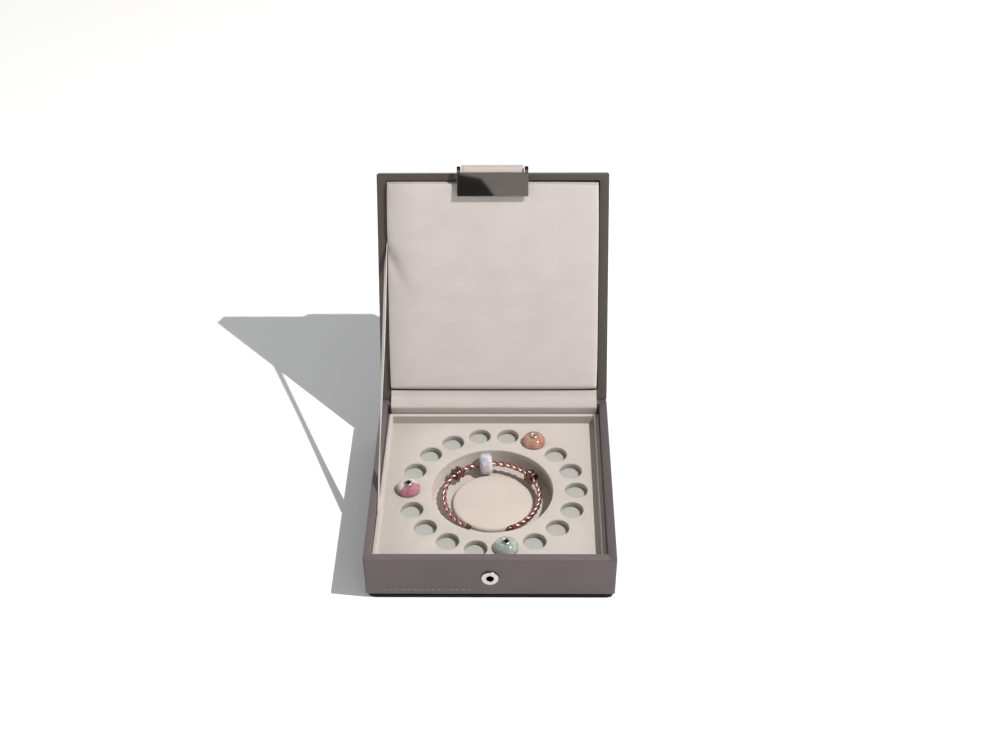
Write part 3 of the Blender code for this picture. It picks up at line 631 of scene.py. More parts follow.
def arc(centre, radius, start, end, steps=5):
    """Points of a round in a profile, from one angle in degrees to another."""
    points = []
    for step in range(steps + 1):
        angle = math.radians(start + (end - start) * step / steps)
        points.append((centre[0] + radius * math.cos(angle), centre[1] + radius * math.sin(angle)))
    return points


def joined(name, pieces):
    make_active(pieces[0])
    for piece in pieces[1:]:
        piece.select_set(True)
    bpy.ops.object.join()
    return named(name)


def copied(name, pattern, matrices):
    """Copies one modelled shape to many places and joins the copies into one piece."""
    copies = []
    for matrix in matrices:
        copy = bpy.data.objects.new(name, pattern.data.copy())
        bpy.context.collection.objects.link(copy)
        copy.matrix_world = matrix
        copies.append(copy)
    bpy.data.objects.remove(pattern, do_unlink=True)
    whole = joined(name, copies)
    settle(whole)
    return whole


def facing(place, along, out):
    """A matrix at a place with X along a direction and Z out of the surface."""
    along = Vector(along).normalized()
    out = Vector(out).normalized()
    side = out.cross(along).normalized()
    return Matrix.Translation(place) @ Matrix((along, side, out)).transposed().to_4x4()


def strip(name, path, width, thickness, cuts=24, matrix=None, subdivide=True):
    """A strip of cloth or leather laid along a path in Y and Z, cut across its width and given thickness."""
    places = [(-width / 2, y, z) for y, z in path]
    piece = starting_point(name, places[0])
    extrude_through(places)
    select_all()
    for _ in range(cuts):
        bpy.ops.mesh.extrude_region_move(TRANSFORM_OT_translate={"value": (width / cuts, 0, 0)})
    face_outwards()
    settle(piece, matrix)
    apply_modifier(piece, "SOLIDIFY", thickness=thickness, offset=0, use_even_offset=True)
    if subdivide:
        apply_modifier(piece, "SUBSURF", levels=1, render_levels=1)
    smooth(piece, 60)
    return piece


def add_line(curve, places, closed=False):
    """Adds a line of straight steps to a curve."""
    line = curve.splines.new("POLY")
    line.points.add(len(places) - 1)
    for point, place in zip(line.points, places):
        point.co = (*place, 1)
    line.use_cyclic_u = closed


def mesh_of(name, curve):
    """A piece with the mesh that a curve makes."""
    holder = bpy.data.objects.new(name, curve)
    bpy.context.collection.objects.link(holder)
    make_active(holder)
    bpy.ops.object.convert(target="MESH")
    return named(name)


def curve_through(points, steps):
    """A smooth path through the given points, with the given steps between each two."""
    result = []
    ends = [2 * Vector(points[0]) - Vector(points[1])] + [Vector(point) for point in points]
    ends.append(2 * Vector(points[-1]) - Vector(points[-2]))
    for first, second, third, fourth in zip(ends, ends[1:], ends[2:], ends[3:]):
        for step in range(steps):
            t = step / steps
            result.append(tuple(0.5 * ((2 * second) + (third - first) * t
                                       + (2 * first - 5 * second + 4 * third - fourth) * t ** 2
                                       + (3 * second - first - 3 * third + fourth) * t ** 3)))
    result.append(tuple(ends[-2]))
    return result


def lid_place(from_hinge, outward):
    """Y and Z of a point of the open lid: how far up from the hinge, and how far out through it."""
    lean = LID_ANGLE - math.pi / 2
    return (HINGE.y + from_hinge * math.sin(lean) + outward * math.cos(lean),
            HINGE.z + from_hinge * math.cos(lean) - outward * math.sin(lean))


def recess_centre(index):
    """Middle of one of the recesses, in X and Y."""
    angle = math.radians(FIRST_RECESS - 360 / RECESS_COUNT * index)
    return RING_RADIUS * math.cos(angle), RING_RADIUS * math.sin(angle)


# Operators, one for each group of pieces

class CHARMBOX_OT_stage(bpy.types.Operator):
    """Pale floor, studio light and the camera"""
    bl_idname = "charm_box.stage"
    bl_label = "Stage"
    bl_options = {"REGISTER", "UNDO"}

    def execute(self, context):
        self.floor()
        self.light()
        self.camera()
        return {"FINISHED"}

    def floor(self):
        """A plane whose far edge fades into the white behind it."""
        size, fade_start, fade_end = 2.8, 0.95, 1.35
        clear_selection()
        bpy.ops.mesh.primitive_plane_add(size=size)
        floor = named("studio_floor")
        finish = Finish("studio_floor", 0.9, specular_ior_level=0.1, emission_strength=1.0)
        place = finish.place()
        x, y = finish.axes(place)[:2]
        far = from_axis(x, y).ramp(fade_start, fade_end)
        finish.set_colour(finish.shader.inputs["Emission Color"], finish.mix(far, (0, 0, 0), WHITE))
        grain = finish.noise(place, 40, 2)
        finish.colour(finish.mix(grain, (0.96, 0.96, 0.955), (0.975, 0.975, 0.97)))
        floor.data.materials.append(finish.material)

    def light(self):
        """A sky that is brightest at the horizon, a dark card in front, which the polished plate mirrors, and
        one small lamp that is as bright far off as near."""
        scene = bpy.context.scene
        scene.view_settings.view_transform = "Standard"
        world = bpy.data.worlds.new("studio")
        world.use_nodes = True
        background = world.node_tree.nodes["Background"]
        background.inputs["Color"].default_value = (0.98, 0.99, 1.0, 1)
        around = Nodes(world.node_tree)
        x, y, z = around.axes(around.node("ShaderNodeTexCoord", output="Generated"))
        glow = z.larger(0) * (ZENITH - HORIZON) + HORIZON
        side = x / (0 - y)
        slant, slant_top, right_edge, left_edge = 1.04, 0.4985, -0.0345, -0.6
        tilt, upper_edge, lower_edge, darkness = 0.148, 0.4926, 0.22, 0.88
        card = (side - (slant_top - z) * slant).below(right_edge) * side.above(left_edge) * y.below(0)
        card = card * (z + side * tilt).below(upper_edge) * z.above(lower_edge)
        strength = glow * (1 - card * darkness)
        world.node_tree.links.new(strength.socket, background.inputs["Strength"])
        scene.world = world
        lamp = bpy.data.lights.new("studio_lamp", "POINT")
        lamp.energy = 1
        lamp.color = (1.0, 0.985, 0.965)
        lamp.shadow_soft_size = 0.005
        lamp.use_nodes = True
        tree = lamp.node_tree
        falloff = tree.nodes.new("ShaderNodeLightFalloff")
        falloff.inputs["Strength"].default_value = LAMP_STRENGTH
        tree.links.new(falloff.outputs["Constant"], tree.nodes["Emission"].inputs["Strength"])
        holder = bpy.data.objects.new("studio_lamp", lamp)
        holder.location = (0.522, -0.155, 0.901)
        scene.collection.objects.link(holder)

    def camera(self):
        """The photograph's own view, as it was fitted to the box's corners."""
        elevation, yaw, roll = math.radians(38.07), math.radians(-1.241), math.radians(-0.778)
        distance, target = 0.8856, Vector((0.00594, 0, 0.11163))
        ahead = Vector((math.sin(yaw) * math.cos(elevation), math.cos(yaw) * math.cos(elevation),
                        -math.sin(elevation)))
        level = Vector((math.cos(yaw), -math.sin(yaw), 0))
        raised = level.cross(ahead)
        right = level * math.cos(roll) + raised * math.sin(roll)
        up = raised * math.cos(roll) - level * math.sin(roll)
        turn = Matrix((right, up, -ahead)).transposed().to_4x4()
        data = bpy.data.cameras.new("photo_camera")
        data.lens = 53.45
        data.sensor_width = 36
        data.clip_start = 0.01
        camera = bpy.data.objects.new("photo_camera", data)
        camera.matrix_world = Matrix.Translation(target - ahead * distance) @ turn
        bpy.context.scene.collection.objects.link(camera)
        bpy.context.scene.camera = camera


class CHARMBOX_OT_base(bpy.types.Operator):
    """Leather walls with their stitching, cover board and snap socket"""
    bl_idname = "charm_box.base"
    bl_label = "Base"
    bl_options = {"REGISTER", "UNDO"}

    def execute(self, context):
        self.walls()
        self.stitching()
        self.boards()
        self.socket()
        return {"FINISHED"}

    def walls(self):
        """Walls with a wide mouth for the lining, over a narrower shaft whose ledge carries the liner."""
        corner, edge, inside_corner, rim_edge = 0.0014, 0.0006, 0.0008, 0.0005
        thicker_front, wider_left, ledge_gap, ledge_drop = 0.0006, 0.0004, 0.0007, 0.0010
        bore_radius, bore_depth = 0.0035, 0.0062
        leather = leather_finish("base_leather", colours().leather, INSIDE, INSIDE)
        walls = rounded_block("leather_walls", WALLS_LOW, WALLS_HIGH, corner, edge)
        above = RIM + 0.018
        front, ledge = thicker_front - INSIDE, LINER_HIGH[0] + ledge_gap
        pocket(walls, (-ledge, front + 0.0001, 0), (ledge, ledge, above), inside_corner)
        mouth = ((-INSIDE - wider_left, front), (INSIDE, INSIDE))
        pocket(walls, (*mouth[0], LINER_HIGH[2] - ledge_drop), (*mouth[1], above), inside_corner)
        soften_rim(walls, *mouth, RIM, rim_edge)
        clear_selection()
        bpy.ops.mesh.primitive_cylinder_add(vertices=48, radius=bore_radius, depth=bore_depth,
                                            location=SNAP_CENTRE, rotation=(math.pi / 2, 0, 0))
        cut_out(walls, named("snap_bore"))
        self.corner_folds(walls)
        settle(walls)
        smooth(walls, 40)
        dress(walls, leather, "base", "base_walls", slot="taupe_leather")

    def corner_folds(self, walls):
        """The leather is folded double at each upper corner, and stands out a little there."""
        reach, half_height, below_rim, out_x, out_y = 0.0036, 0.0026, 0.0012, 0.0007, 0.0002
        for vert in walls.data.vertices:
            flat = Vector((abs(vert.co.x), abs(vert.co.y)))
            near = share((WALLS_HIGH.xy - flat).length, reach, 0)
            near *= share(abs(vert.co.z - RIM + below_rim), half_height, 0)
            vert.co.x += math.copysign(out_x * near, vert.co.x)
            vert.co.y += math.copysign(out_y * near, vert.co.y)

    def boards(self):
        """The dark cover board underneath, and plain card for the boards that are hidden."""
        further_front, corner, edge = Vector((0, 0.0004, 0)), 0.0055, 0.00015
        board = board_finish("cover_board", colours().board)
        low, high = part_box("base_cover")
        cover = rounded_block("cover_board", low - further_front, high, corner, edge)
        settle(cover)
        smooth(cover, 40)
        dress(cover, board, "base", "base_cover", slot="black_board")
        card = board_finish("plain_card", linear(150, 135, 118))
        repaint("base_floor", card)
        repaint("lid_pad_board", card)

    def stitching(self):
        """One sunken thread stitch, copied in a row round the walls just above the cover board."""
        clear_selection()
        bpy.ops.mesh.primitive_uv_sphere_add(segments=10, ring_count=6, radius=1)
        stitch = named("stitch")
        stitch.scale = (0.00120, 0.00022, 0.00022)
        settle(stitch)
        smooth(stitch, 80)
        reach, wall, slant, height = 0.0705, 0.07500, math.tan(math.radians(4)), sizes().stitch_height
        count = int(2 * reach / sizes().stitch_pitch)
        places = []
        for step in range(count + 1):
            across = -reach + 2 * reach * step / count
            for out in ((0, -1, 0), (0, 1, 0), (1, 0, 0), (-1, 0, 0)):
                out = Vector(out)
                along = Vector((0, 0, 1)).cross(out)
                place = along * across + out * wall + Vector((0, 0, height))
                places.append(facing(place, along + Vector((0, 0, slant * (-1) ** step)), out))
        thread = Finish("thread", 0.7, sheen_weight=0.3)
        fibre = thread.noise(thread.place(), 3000, 2)
        sunk = thread.noise(thread.place(), 32, 2).ramp(0.42, 0.56) * 0.75
        tone = thread.mix(fibre, shade(colours().thread, 0.85), shade(colours().thread, 1.15))
        thread.colour(thread.mix(sunk, tone, colours().leather))
        row = copied("base_stitching", stitch, places)
        dress(row, thread.material, "base", slot="taupe_leather")

    def socket(self):
        """The snap's ring with its domed flange, and its dark hole."""
        bore, neck, flange = 0.0023, 0.0031, 0.0046
        gap = 0.0003
        top = gap + 0.0010
        profile = [(0, -0.0021), (bore, -0.0021), (bore, -0.0002), (bore - 0.0002, 0.0001),
                   (bore - 0.0002, 0.0004), (bore, 0.0006)]
        profile += arc((0.0027, top - 0.0004), 0.0004, 180, 90, 4)
        profile += [(0.0034, top - 0.00012)]
        profile += arc((flange, top - 0.00055), 0.00055, 90, -60, 6)
        profile += [(flange, gap), (neck, gap), (neck, -0.0028), (0, -0.0028)]
        socket = turned("snap_ring", profile, facing(SNAP_CENTRE, (1, 0, 0), (0, -1, 0)))
        nickel = metal_finish("polished_nickel", colours().nickel, 0.16)
        dress(socket, nickel, "base", "snap_socket", slot="nickel")
        socket.data.materials.append(metal_finish("hole_shadow", linear(30, 27, 25), 0.6))
        for face in socket.data.polygons:
            inside = face.center - SNAP_CENTRE
            if Vector((inside.x, inside.z)).length < bore + LEVEL and inside.y > -0.0010:
                face.material_index = 1


class CHARMBOX_OT_insert(bpy.types.Operator):
    """Velvet liner, tray with its recesses, sunken well and middle disc"""
    bl_idname = "charm_box.insert"
    bl_label = "Insert"
    bl_options = {"REGISTER", "UNDO"}

    def execute(self, context):
        def sides_and_holes(x, y, z):
            """Darker towards the liner, and painted shade down the walls of its holes."""
            sides = abs(x - 0.006).ramp(0.045, 0.075) * 0.30
            recesses = from_axis(x, y).above(WELL_RADIUS + 0.002)
            return sides.larger((TRAY_HIGH[2] - z).ramp(0.0003, 0.0020) * recesses * 0.6)

        velvet = velvet_finish("tray_velvet", colours().velvet, painted_shade=sides_and_holes)
        self.liner()
        self.tray(velvet)
        self.well()
        self.disc()
        repaint("tray_floor", velvet)
        repaint("recess_felt", felt_finish("recess_felt", colours().felt))
        return {"FINISHED"}

    def liner(self):
        """A thin velvet frame, thicker at the right and the back, that narrows where it meets the tray."""
        thin, thick, foot, edge, corner, inside_corner = 0.0016, 0.0025, 0.0009, 0.0006, 0.0014, 0.0007
        further_left, further_right = Vector((0.00064, 0, 0)), Vector((0.0004, 0, 0))
        left, right = LINER_LOW[0] + thin, LINER_HIGH[0] - thick
        inner_back, inner_front = LINER_HIGH[1] - thick, LINER_LOW[1] + thin
        liner = rounded_block("velvet_liner", LINER_LOW - further_left, LINER_HIGH + further_right,
                              corner, edge)
        pocket(liner, (left, inner_front, LINER_LOW[2] - CLEAR), (right, inner_back, LINER_HIGH[2] + CLEAR),
               inside_corner)
        soften_rim(liner, (left, inner_front), (right, inner_back), LINER_HIGH[2], edge * 0.9)
        front_corner_out, right_side_out = 0.0011, 0.0003
        for vert in liner.data.vertices:
            if left - 0.0003 < vert.co.x < right + 0.0003 and vert.co.z < LINER_LOW[2] + 0.001:
                vert.co.x -= math.copysign(foot, vert.co.x)
            if vert.co.y < 0:
                vert.co.x -= front_corner_out * share(-vert.co.x, 0.0680, 0.0692)
            vert.co.x += right_side_out * share(vert.co.x, 0.0685, 0.0691)

        def shadowed_inside(x, y, z):
            """The inside of the liner along the back, and all of its right side, in the shade of the wall."""
            top = (z - LINER_HIGH[2] + 0.0010).ramp(0, 0.0008)
            back = (y - inner_back + 0.0012).ramp(0, 0.0002) * 0.72 * (1 - top)
            lit = (x - right - 0.0009).ramp(0, 0.0003) * top
            at_right = (x - right + 0.0012).ramp(0, 0.0002)
            return back.larger(at_right * (top * 0.15 + 0.85) * (1 - lit * 0.55))

        lining = velvet_finish("liner_velvet", colours().velvet, painted_shade=shadowed_inside)
        settle(liner)
        smooth(liner, 40)
        dress(liner, lining, "base", "liner_frame", slot="velvet")

    def tray(self, velvet):
        """A flat outline with a hole for the well and one for each recess, with softly rolled edges."""
        curve = bpy.data.curves.new("velvet_tray", "CURVE")
        curve.dimensions = "2D"
        curve.fill_mode = "BOTH"
        edge = sizes().tray_edge
        curve.extrude = (TRAY_HIGH[2] - TRAY_LOW[2]) / 2 - edge
        curve.bevel_depth = edge
        curve.bevel_resolution = 3
        curve.offset = -edge
        half_x, corner = LINER_HIGH[0] - 0.0012, 0.0008
        back, front = LINER_HIGH[1] - 0.0020, LINER_LOW[1] + 0.0012
        outline = []
        corners = ((half_x, back, 0), (-half_x, back, 90), (-half_x, front, 180), (half_x, front, 270))
        for x, y, start in corners:
            centre = (x - math.copysign(corner, x), y - math.copysign(corner, y))
            outline += arc(centre, corner, start, start + 90)
        loops = [outline, arc((0, 0), WELL_RADIUS, 0, 358, 179)]
        for index in range(RECESS_COUNT):
            loops.append(arc(recess_centre(index), RECESS_RADIUS, 0, 354, 59))
        for loop in loops:
            add_line(curve, [(x, y, 0) for x, y in loop], closed=True)
        tray = mesh_of("velvet_tray", curve)
        start_edit(tray)
        face_outwards(0.000005)
        tray.location = (0, 0, (TRAY_HIGH[2] + TRAY_LOW[2]) / 2)
        settle(tray)
        smooth(tray, 50)
        dress(tray, velvet, "base", "charm_tray", slot="velvet")

    def well(self):
        """The velvet wall of the well below the tray's sheet: a lighter copy of the velvet, painted light for
        its lit left side, with painted shade towards the right.
        """
        side = velvet_finish("well_velvet", shade(colours().velvet, 1.15),
                             painted_shade=lambda x, y, z: x.ramp(-0.012, 0.034) * 0.72)
        rings = 6
        low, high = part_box("tray_core")[0][2], TRAY_LOW[2] + 0.0004
        inner, outer = WELL_RADIUS - 0.00005, WELL_RADIUS + 0.0012
        profile = [(inner, low)] + [(inner, low + (high - low) * step / rings) for step in range(1, rings + 1)]
        profile += [(outer, high), (outer, low), (inner, low)]
        well = turned("well_wall", profile, None, 160)
        dress(well, side, "base", "tray_core", slot="velvet")

    def disc(self):
        """The raised disc in the middle: a low crown with a rolled edge."""
        # painted shade on the disc's rounded side, darker below its top
        velvet = velvet_finish("disc_velvet", tinted(colours().velvet, 1.08, 1.05, 1.01),
                               painted_shade=lambda x, y, z: (DISC_HIGH[2] - z).ramp(0.0005, 0.0022) * 0.6)
        height = DISC_HIGH[2] - DISC_LOW[2]
        radius, edge, crown = DISC_RADIUS - 0.0009, 0.0021, 0.0005
        shoulder = height - crown
        profile = [(0, height), (radius * 0.35, height - crown * 0.10), (radius * 0.7, height - crown * 0.5),
                   (radius * 0.88, shoulder + crown * 0.12)]
        profile += arc((radius - edge, shoulder - edge), edge, 90, 0, 7)
        profile += [(radius, 0.0002), (radius - 0.0006, 0), (0, 0)]
        disc = turned("velvet_disc", profile, Matrix.Translation((0, 0, DISC_LOW[2])), 128)
        dress(disc, velvet, "base", "centre_disc", slot="velvet")


class CHARMBOX_OT_lid(bpy.types.Operator):
    """Leather lid and its padded panel"""
    bl_idname = "charm_box.lid"
    bl_label = "Lid"
    bl_options = {"REGISTER", "UNDO"}

    def execute(self, context):
        self.shell()
        self.pad()
        return {"FINISHED"}

    def shell(self):
        """A shallow tray of leather, with a groove in its left side for the ribbon."""
        side, front, back = 0.0693, -0.0709, 0.0680
        leather = leather_finish("lid_leather", colours().lid_leather, side, -front, lid=True)
        thickness, top_wall = 0.0090, 0.0024
        low = (-LID_HALF, LID_FRONT, LID_UNDER)
        high = (LID_HALF, LID_BACK, LID_UNDER + thickness)
        lid = rounded_block("leather_lid", low, high, 0.0009, 0.0004)
        depth = LID_UNDER + thickness - top_wall
        pocket(lid, (-side, front, LID_UNDER - CLEAR), (side, back, depth), 0.0006)
        soften_rim(lid, (-side, front), (side, back), LID_UNDER, 0.0003)
        groove_middle, groove_half = HINGE.y - 0.0960, 0.0095
        pocket(lid, (-side - 0.0014, groove_middle - groove_half, LID_UNDER - CLEAR),
               (-side + 0.0010, groove_middle + groove_half, depth), 0.0002)
        settle(lid, LID_OPEN)
        smooth(lid, 40)
        dress(lid, leather, "lid", "lid_shell", slot="taupe_leather")

    def pad(self):
        """A board wrapped in brushed cloth over thin foam: crowned face, rolled edges, and small waves where
        the cloth is pulled round."""
        def left_and_bottom(x, y, z):
            """Darker towards the left beside the ribbon, and painted shade on its rounded edge above the hinge.
            """
            return ((1 - x.ramp(-0.076, -0.045)) * 0.38).larger((y - 0.0640).ramp(0, 0.0034) * 0.75)

        cloth = velvet_finish("pad_cloth", colours().pad, lid=True, nap=45, painted_shade=left_and_bottom)
        half_x, shift, front, back = 0.0689, -0.0001, 0.1455, 0.0077
        half_y = (front - back) / 2
        middle = HINGE.y - (front + back) / 2
        pad = block("lid_cushion", (-1, -1, -1), (1, 1, 1))
        start_edit(pad)
        select_all()
        bpy.ops.mesh.subdivide(number_cuts=55)
        end_edit()
        base = RIM + 0.0039
        thickness, crown, drawn_in, pucker = 0.0066, 0.0003, 0.0005, sizes().pucker
        dent_depth, dent_reach, dent_half, ribbon_y = 0.0020, 0.010, 0.0075, HINGE.y - 0.1000
        for vert in pad.data.vertices:
            u, v, w = vert.co
            spread_u, spread_v = math.sin(u * math.pi / 2), math.sin(v * math.pi / 2)
            face = (1 - w) / 2
            edge = max(abs(spread_u), abs(spread_v))
            roll = 1 - edge ** 60
            bulge = (1 - abs(spread_u) ** 4) * (1 - abs(spread_v) ** 4)
            corner_x, corner_y = drawn_in * spread_v ** 6 * face, drawn_in * spread_u ** 6 * face
            if v < 0:
                corner_y += 0.0010 * share(face, 0.40, 0.65) + 0.0004 * (1 + spread_u)
            x, y = spread_u * (half_x - corner_x), spread_v * (half_y - corner_y)
            run = x if abs(spread_v) > abs(spread_u) else y
            waves = math.sin(run * 640 + 3 * math.sin(run * 170)) * math.sin(run * 95 + 1.3)
            near = share(edge, 0.80, 1)
            wave = pucker * waves * near * (1 - near ** 6)
            ripple = 0.00010 * math.sin(x * 61 + 2 * math.sin(y * 37)) * math.sin(y * 83 + 1.1)
            run_in = x + half_x
            off_ribbon = y + middle - ribbon_y - 2.0 * run_in
            dent = dent_depth * math.exp(-(run_in / dent_reach) ** 2 - (off_ribbon / dent_half) ** 2)
            depth = thickness * (0.90 + 0.10 * roll) + crown * bulge + wave + ripple - dent
            vert.co = (x + shift, y + middle, base - face * depth)
        settle(pad, LID_OPEN)
        smooth(pad, 80)
        dress(pad, cloth, "lid", "lid_pad", slot="velvet")


class CHARMBOX_OT_hinge(bpy.types.Operator):
    """Cloth over the hinge inside, leather spine outside, and the ribbon stay"""
    bl_idname = "charm_box.hinge"
    bl_label = "Hinge cloth and ribbon"
    bl_options = {"REGISTER", "UNDO"}

    def execute(self, context):
        self.lining()
        self.spine()
        self.ribbon()
        return {"FINISHED"}

    def lining(self):
        """Cloth that runs up from behind the liner, over the rim and on to the lid, with one soft crease."""
        cloth = velvet_finish("hinge_cloth", shade(colours().pad, 0.955), nap=45)
        hang = (LINER_HIGH[1] + WALLS_HIGH[1] - WALL) / 2
        falls = [(hang, LINING_LOW[2]), (hang, 0.0240), (hang - 0.0003, 0.0268), (0.06845, 0.0304)]
        rises = [(0.06845, 0.0306), (0.0705, 0.0327), (0.0728, 0.0343), lid_place(0.0024, -0.0009),
                 lid_place(0.0043, -0.0005), lid_place(0.0066, -0.0001)]
        path = curve_through(falls, 5) + curve_through(rises, 6)[1:]
        width, thickness = 0.1370, 0.0006
        lining = strip("hinge_cloth", path, width, thickness, 30, subdivide=False)
        loose_height, loose_half, crease_height, crease_half = 0.0330, 0.0018, 0.0335, 0.0005
        for vert in lining.data.vertices:
            x, y, z = vert.co
            loose = math.exp(-((z - loose_height) / loose_half) ** 2)
            vert.co.z += 0.00016 * loose * math.sin(x * 110 + 2 * math.sin(x * 45))
            crease = math.exp(-((z - crease_height + 0.0003 * math.sin(x * 70)) / crease_half) ** 2)
            vert.co.y += 0.00010 * crease
            vert.co.z -= 0.00014 * crease
        dress(lining, cloth, None, "hinge_lining", slot="velvet")
        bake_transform(lining)

    def spine(self):
        """Leather outside the hinge, from the back wall on to the lid's edge."""
        leather = leather_finish("spine_leather", colours().leather, 0.2, 0.2)
        points = [(0.0757, 0.0162), (0.0757, 0.0225), (0.0757, 0.0280), (0.0758, 0.0299), (0.0762, 0.0305),
                  lid_place(-0.0008, 0.0022), lid_place(-0.0007, 0.0048), lid_place(-0.0007, 0.0074)]
        width, thickness = 0.1500, 0.0008
        spine = strip("leather_spine", curve_through(points, 3), width, thickness, 16)
        dress(spine, leather, None, "hinge_spine", slot="taupe_leather")
        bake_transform(spine)

    def ribbon(self):
        """Satin pulled straight from the gap at the left to the lid's groove, cupped and slightly twisted."""
        satin = ribbon_finish("ribbon_satin", colours().ribbon)
        width, thickness, twist_peak, twist_reach = 0.0069, 0.00034, 0.2, 0.55
        top = Vector((-0.07010, *lid_place(0.1050, 0.0035)))
        bottom = Vector((-0.07045, -0.0259, 0.0220))
        span = top - bottom
        ribbon = block("satin_ribbon", (-0.5, -0.5, -0.5), (0.5, 0.5, 0.5))
        start_edit(ribbon)
        pick_edges(ribbon, upright)
        bpy.ops.mesh.subdivide(number_cuts=63)
        pick_edges(ribbon, along_y)
        bpy.ops.mesh.subdivide(number_cuts=5)
        end_edit()
        along = span.normalized()
        across = along.cross(Vector((1, 0, 0))).normalized()
        turn = Matrix((across.cross(along), across, along)).transposed()
        for vert in ribbon.data.vertices:
            x, y, z = vert.co
            cup = 0.00012 * math.cos(y * math.pi) + 0.00010 * math.sin(z * 9)
            selvage = 1.25 if abs(y) > 0.45 else 1.0
            flat = Vector((x * thickness * selvage + cup, y * width, z * span.length))
            twist = math.radians(18.5) * max(0, 1 - ((z - twist_peak) / twist_reach) ** 2)
            vert.co = turn @ (Matrix.Rotation(twist, 3, "Z") @ flat) + (top + bottom) / 2
        smooth(ribbon, 60)
        dress(ribbon, satin, None, "ribbon_stay", slot="ribbon")
        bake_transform(ribbon)


class CHARMBOX_OT_clasp(bpy.types.Operator):
    """Strap, gunmetal plate and the stud behind it"""
    bl_idname = "charm_box.clasp"
    bl_label = "Clasp"
    bl_options = {"REGISTER", "UNDO"}

    def execute(self, context):
        self.strap(self.strap_leather())
        self.plate()
        self.stud()
        return {"FINISHED"}

    def strap_leather(self):
        """Smooth pale leather, creased along the strap."""
        finish = Finish("strap_leather", 0.55, specular_ior_level=0.35)
        place = finish.place()
        pebbles = finish.cells(place, 1700, "SMOOTH_F1")
        creases = finish.noise(finish.stretched(place, 0.25, 1, 1), 420, 4, 0.6)
        colour = colours().strap
        tone = finish.mix(creases.ramp(0.35, 0.7), shade(colour, 0.94), shade(colour, 1.04))
        finish.colour(finish.mix(pebbles.ramp(0.3, 0.8) * 0.3, tone, shade(colour, 0.84)))
        finish.roughness(creases * 0.2 + 0.45)
        finish.relief((1 - pebbles) * 0.4 + creases * 0.5, 0.0001, 0.6)
        return finish.material

    def strap(self, leather):
        """Three lengths of one strap: sewn down, free, and behind the plate."""
        joints = {joint["name"]: Vector(joint["pos_m"]) for joint in frame["joints"]}
        root, turn = LID_CLOSED @ joints["clasp_lift"], LID_CLOSED @ joints["clasp_fold"]
        width, thickness = 0.0408, 0.0010
        top, front = root.z, LID_FRONT
        bow = front - 0.0043
        anchor = [(front + 0.0051, top), (front + 0.0020, top), (root.y + 0.0004, top)]
        over = [anchor[-1], (front - 0.0014, top - 0.0003), (front - 0.0036, top - 0.0020),
                (bow - 0.0002, top - 0.0052), (bow - 0.0006, (top + turn.z) / 2 + 0.0006)]
        under = [over[-1], (bow - 0.0009, turn.z + 0.0035), (turn.y - 0.0001, turn.z + 0.0010)]
        for height in (-0.0002, -0.0050, -0.0100, -0.0145):
            under.append((LID_CLOSED @ (self.plate_matrix() @ Vector((0, 0, height)))).yz)
        pieces = []
        for name, points, node in (("strap_sewn", anchor, "strap_anchor"), ("strap_free", over, "clasp_strap"),
                                   ("strap_behind_plate", under, "clasp_tab")):
            piece = strip(name, curve_through(points, 5), width, thickness, 12, LID_OPEN)
            pieces.append(dress(piece, leather, None, node, slot="beige_leather"))
        sewn, free, behind = pieces
        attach(sewn, "lid")
        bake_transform(free)
        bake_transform(behind)

    def plate_matrix(self):
        """Where the plate hangs with the lid open. Its foot points down its own Z."""
        fold = math.radians(85)
        place = Vector((0, LID_FRONT - 0.0010, RIM - 0.0038))
        return LID_OPEN @ Matrix.Translation(place) @ Matrix.Rotation(fold, 4, "X")

    def plate(self):
        """A polished plate with a small ear standing up at each end."""
        matrix = self.plate_matrix()
        half, height, thickness, corner = 0.0231, 0.0152, 0.0014, 0.0006
        ear_width, ear_foot, ear_top = 0.0025, -0.0006, 0.0041
        back = -0.0005 - 0.0003
        plate = block("gunmetal_plate", (-half, back - thickness, -height), (half, back, 0.0002))
        start_edit(plate)
        bevel_edges(plate, lambda start, end: along_y(start, end) and start.z < -height / 2, corner, 4)
        bevel_edges(plate, across_y, 0.00028, 3)
        end_edit()
        pieces = [plate]
        for low, high in ((-half, ear_width - half), (half - ear_width, half)):
            ear = block("ear", (low, back - thickness, ear_foot), (high, back, ear_top))
            start_edit(ear)
            bevel_edges(ear, lambda start, end: along_y(start, end) and start.z > ear_top / 2, corner, 5)
            bevel_edges(ear, lambda start, end: across_y(start, end) and max(start.z, end.z) > 0, 0.00015, 2)
            end_edit()
            pieces.append(ear)
        plate = joined("gunmetal_plate", pieces)
        settle(plate, matrix)
        smooth(plate, 12)
        up, foot = matrix.to_3x3() @ Vector((0, 0, 1)), matrix.translation

        # the ears' tops get a painted dark reflection, growing darker up the ears
        def painted_dark_ear_tops(x, y, z):
            return (y * up.y + z * up.z - foot.dot(up)).ramp(0.0008, 0.0030)

        gunmetal = metal_finish("gunmetal", colours().gunmetal, 0.02, 0, relief=0, dark=painted_dark_ear_tops)
        dress(plate, gunmetal, "clasp", "clasp_plate", slot="gunmetal")

    def stud(self):
        """The stud behind the plate, which presses into the snap's ring."""
        reach, post, flange = 0.0019, 0.0016, 0.0042
        profile = [(0, reach), (0.0011, reach)] + arc((0.0013, reach - 0.0006), 0.0006, 80, -20, 5)
        profile += [(post, 0.0009), (post + 0.0001, 0.0007), (0.0036, 0.0005), (flange, 0.0003), (flange, 0),
                    (0, 0)]
        place = self.plate_matrix() @ Matrix.Translation((0, 0.0008, -0.0084))
        stud = turned("snap_stud_turned", profile, place @ Matrix.Rotation(-math.pi / 2, 4, "X"), 48)
        dress(stud, metal_finish("stud_nickel", colours().nickel, 0.2), "clasp", "snap_stud", slot="nickel")


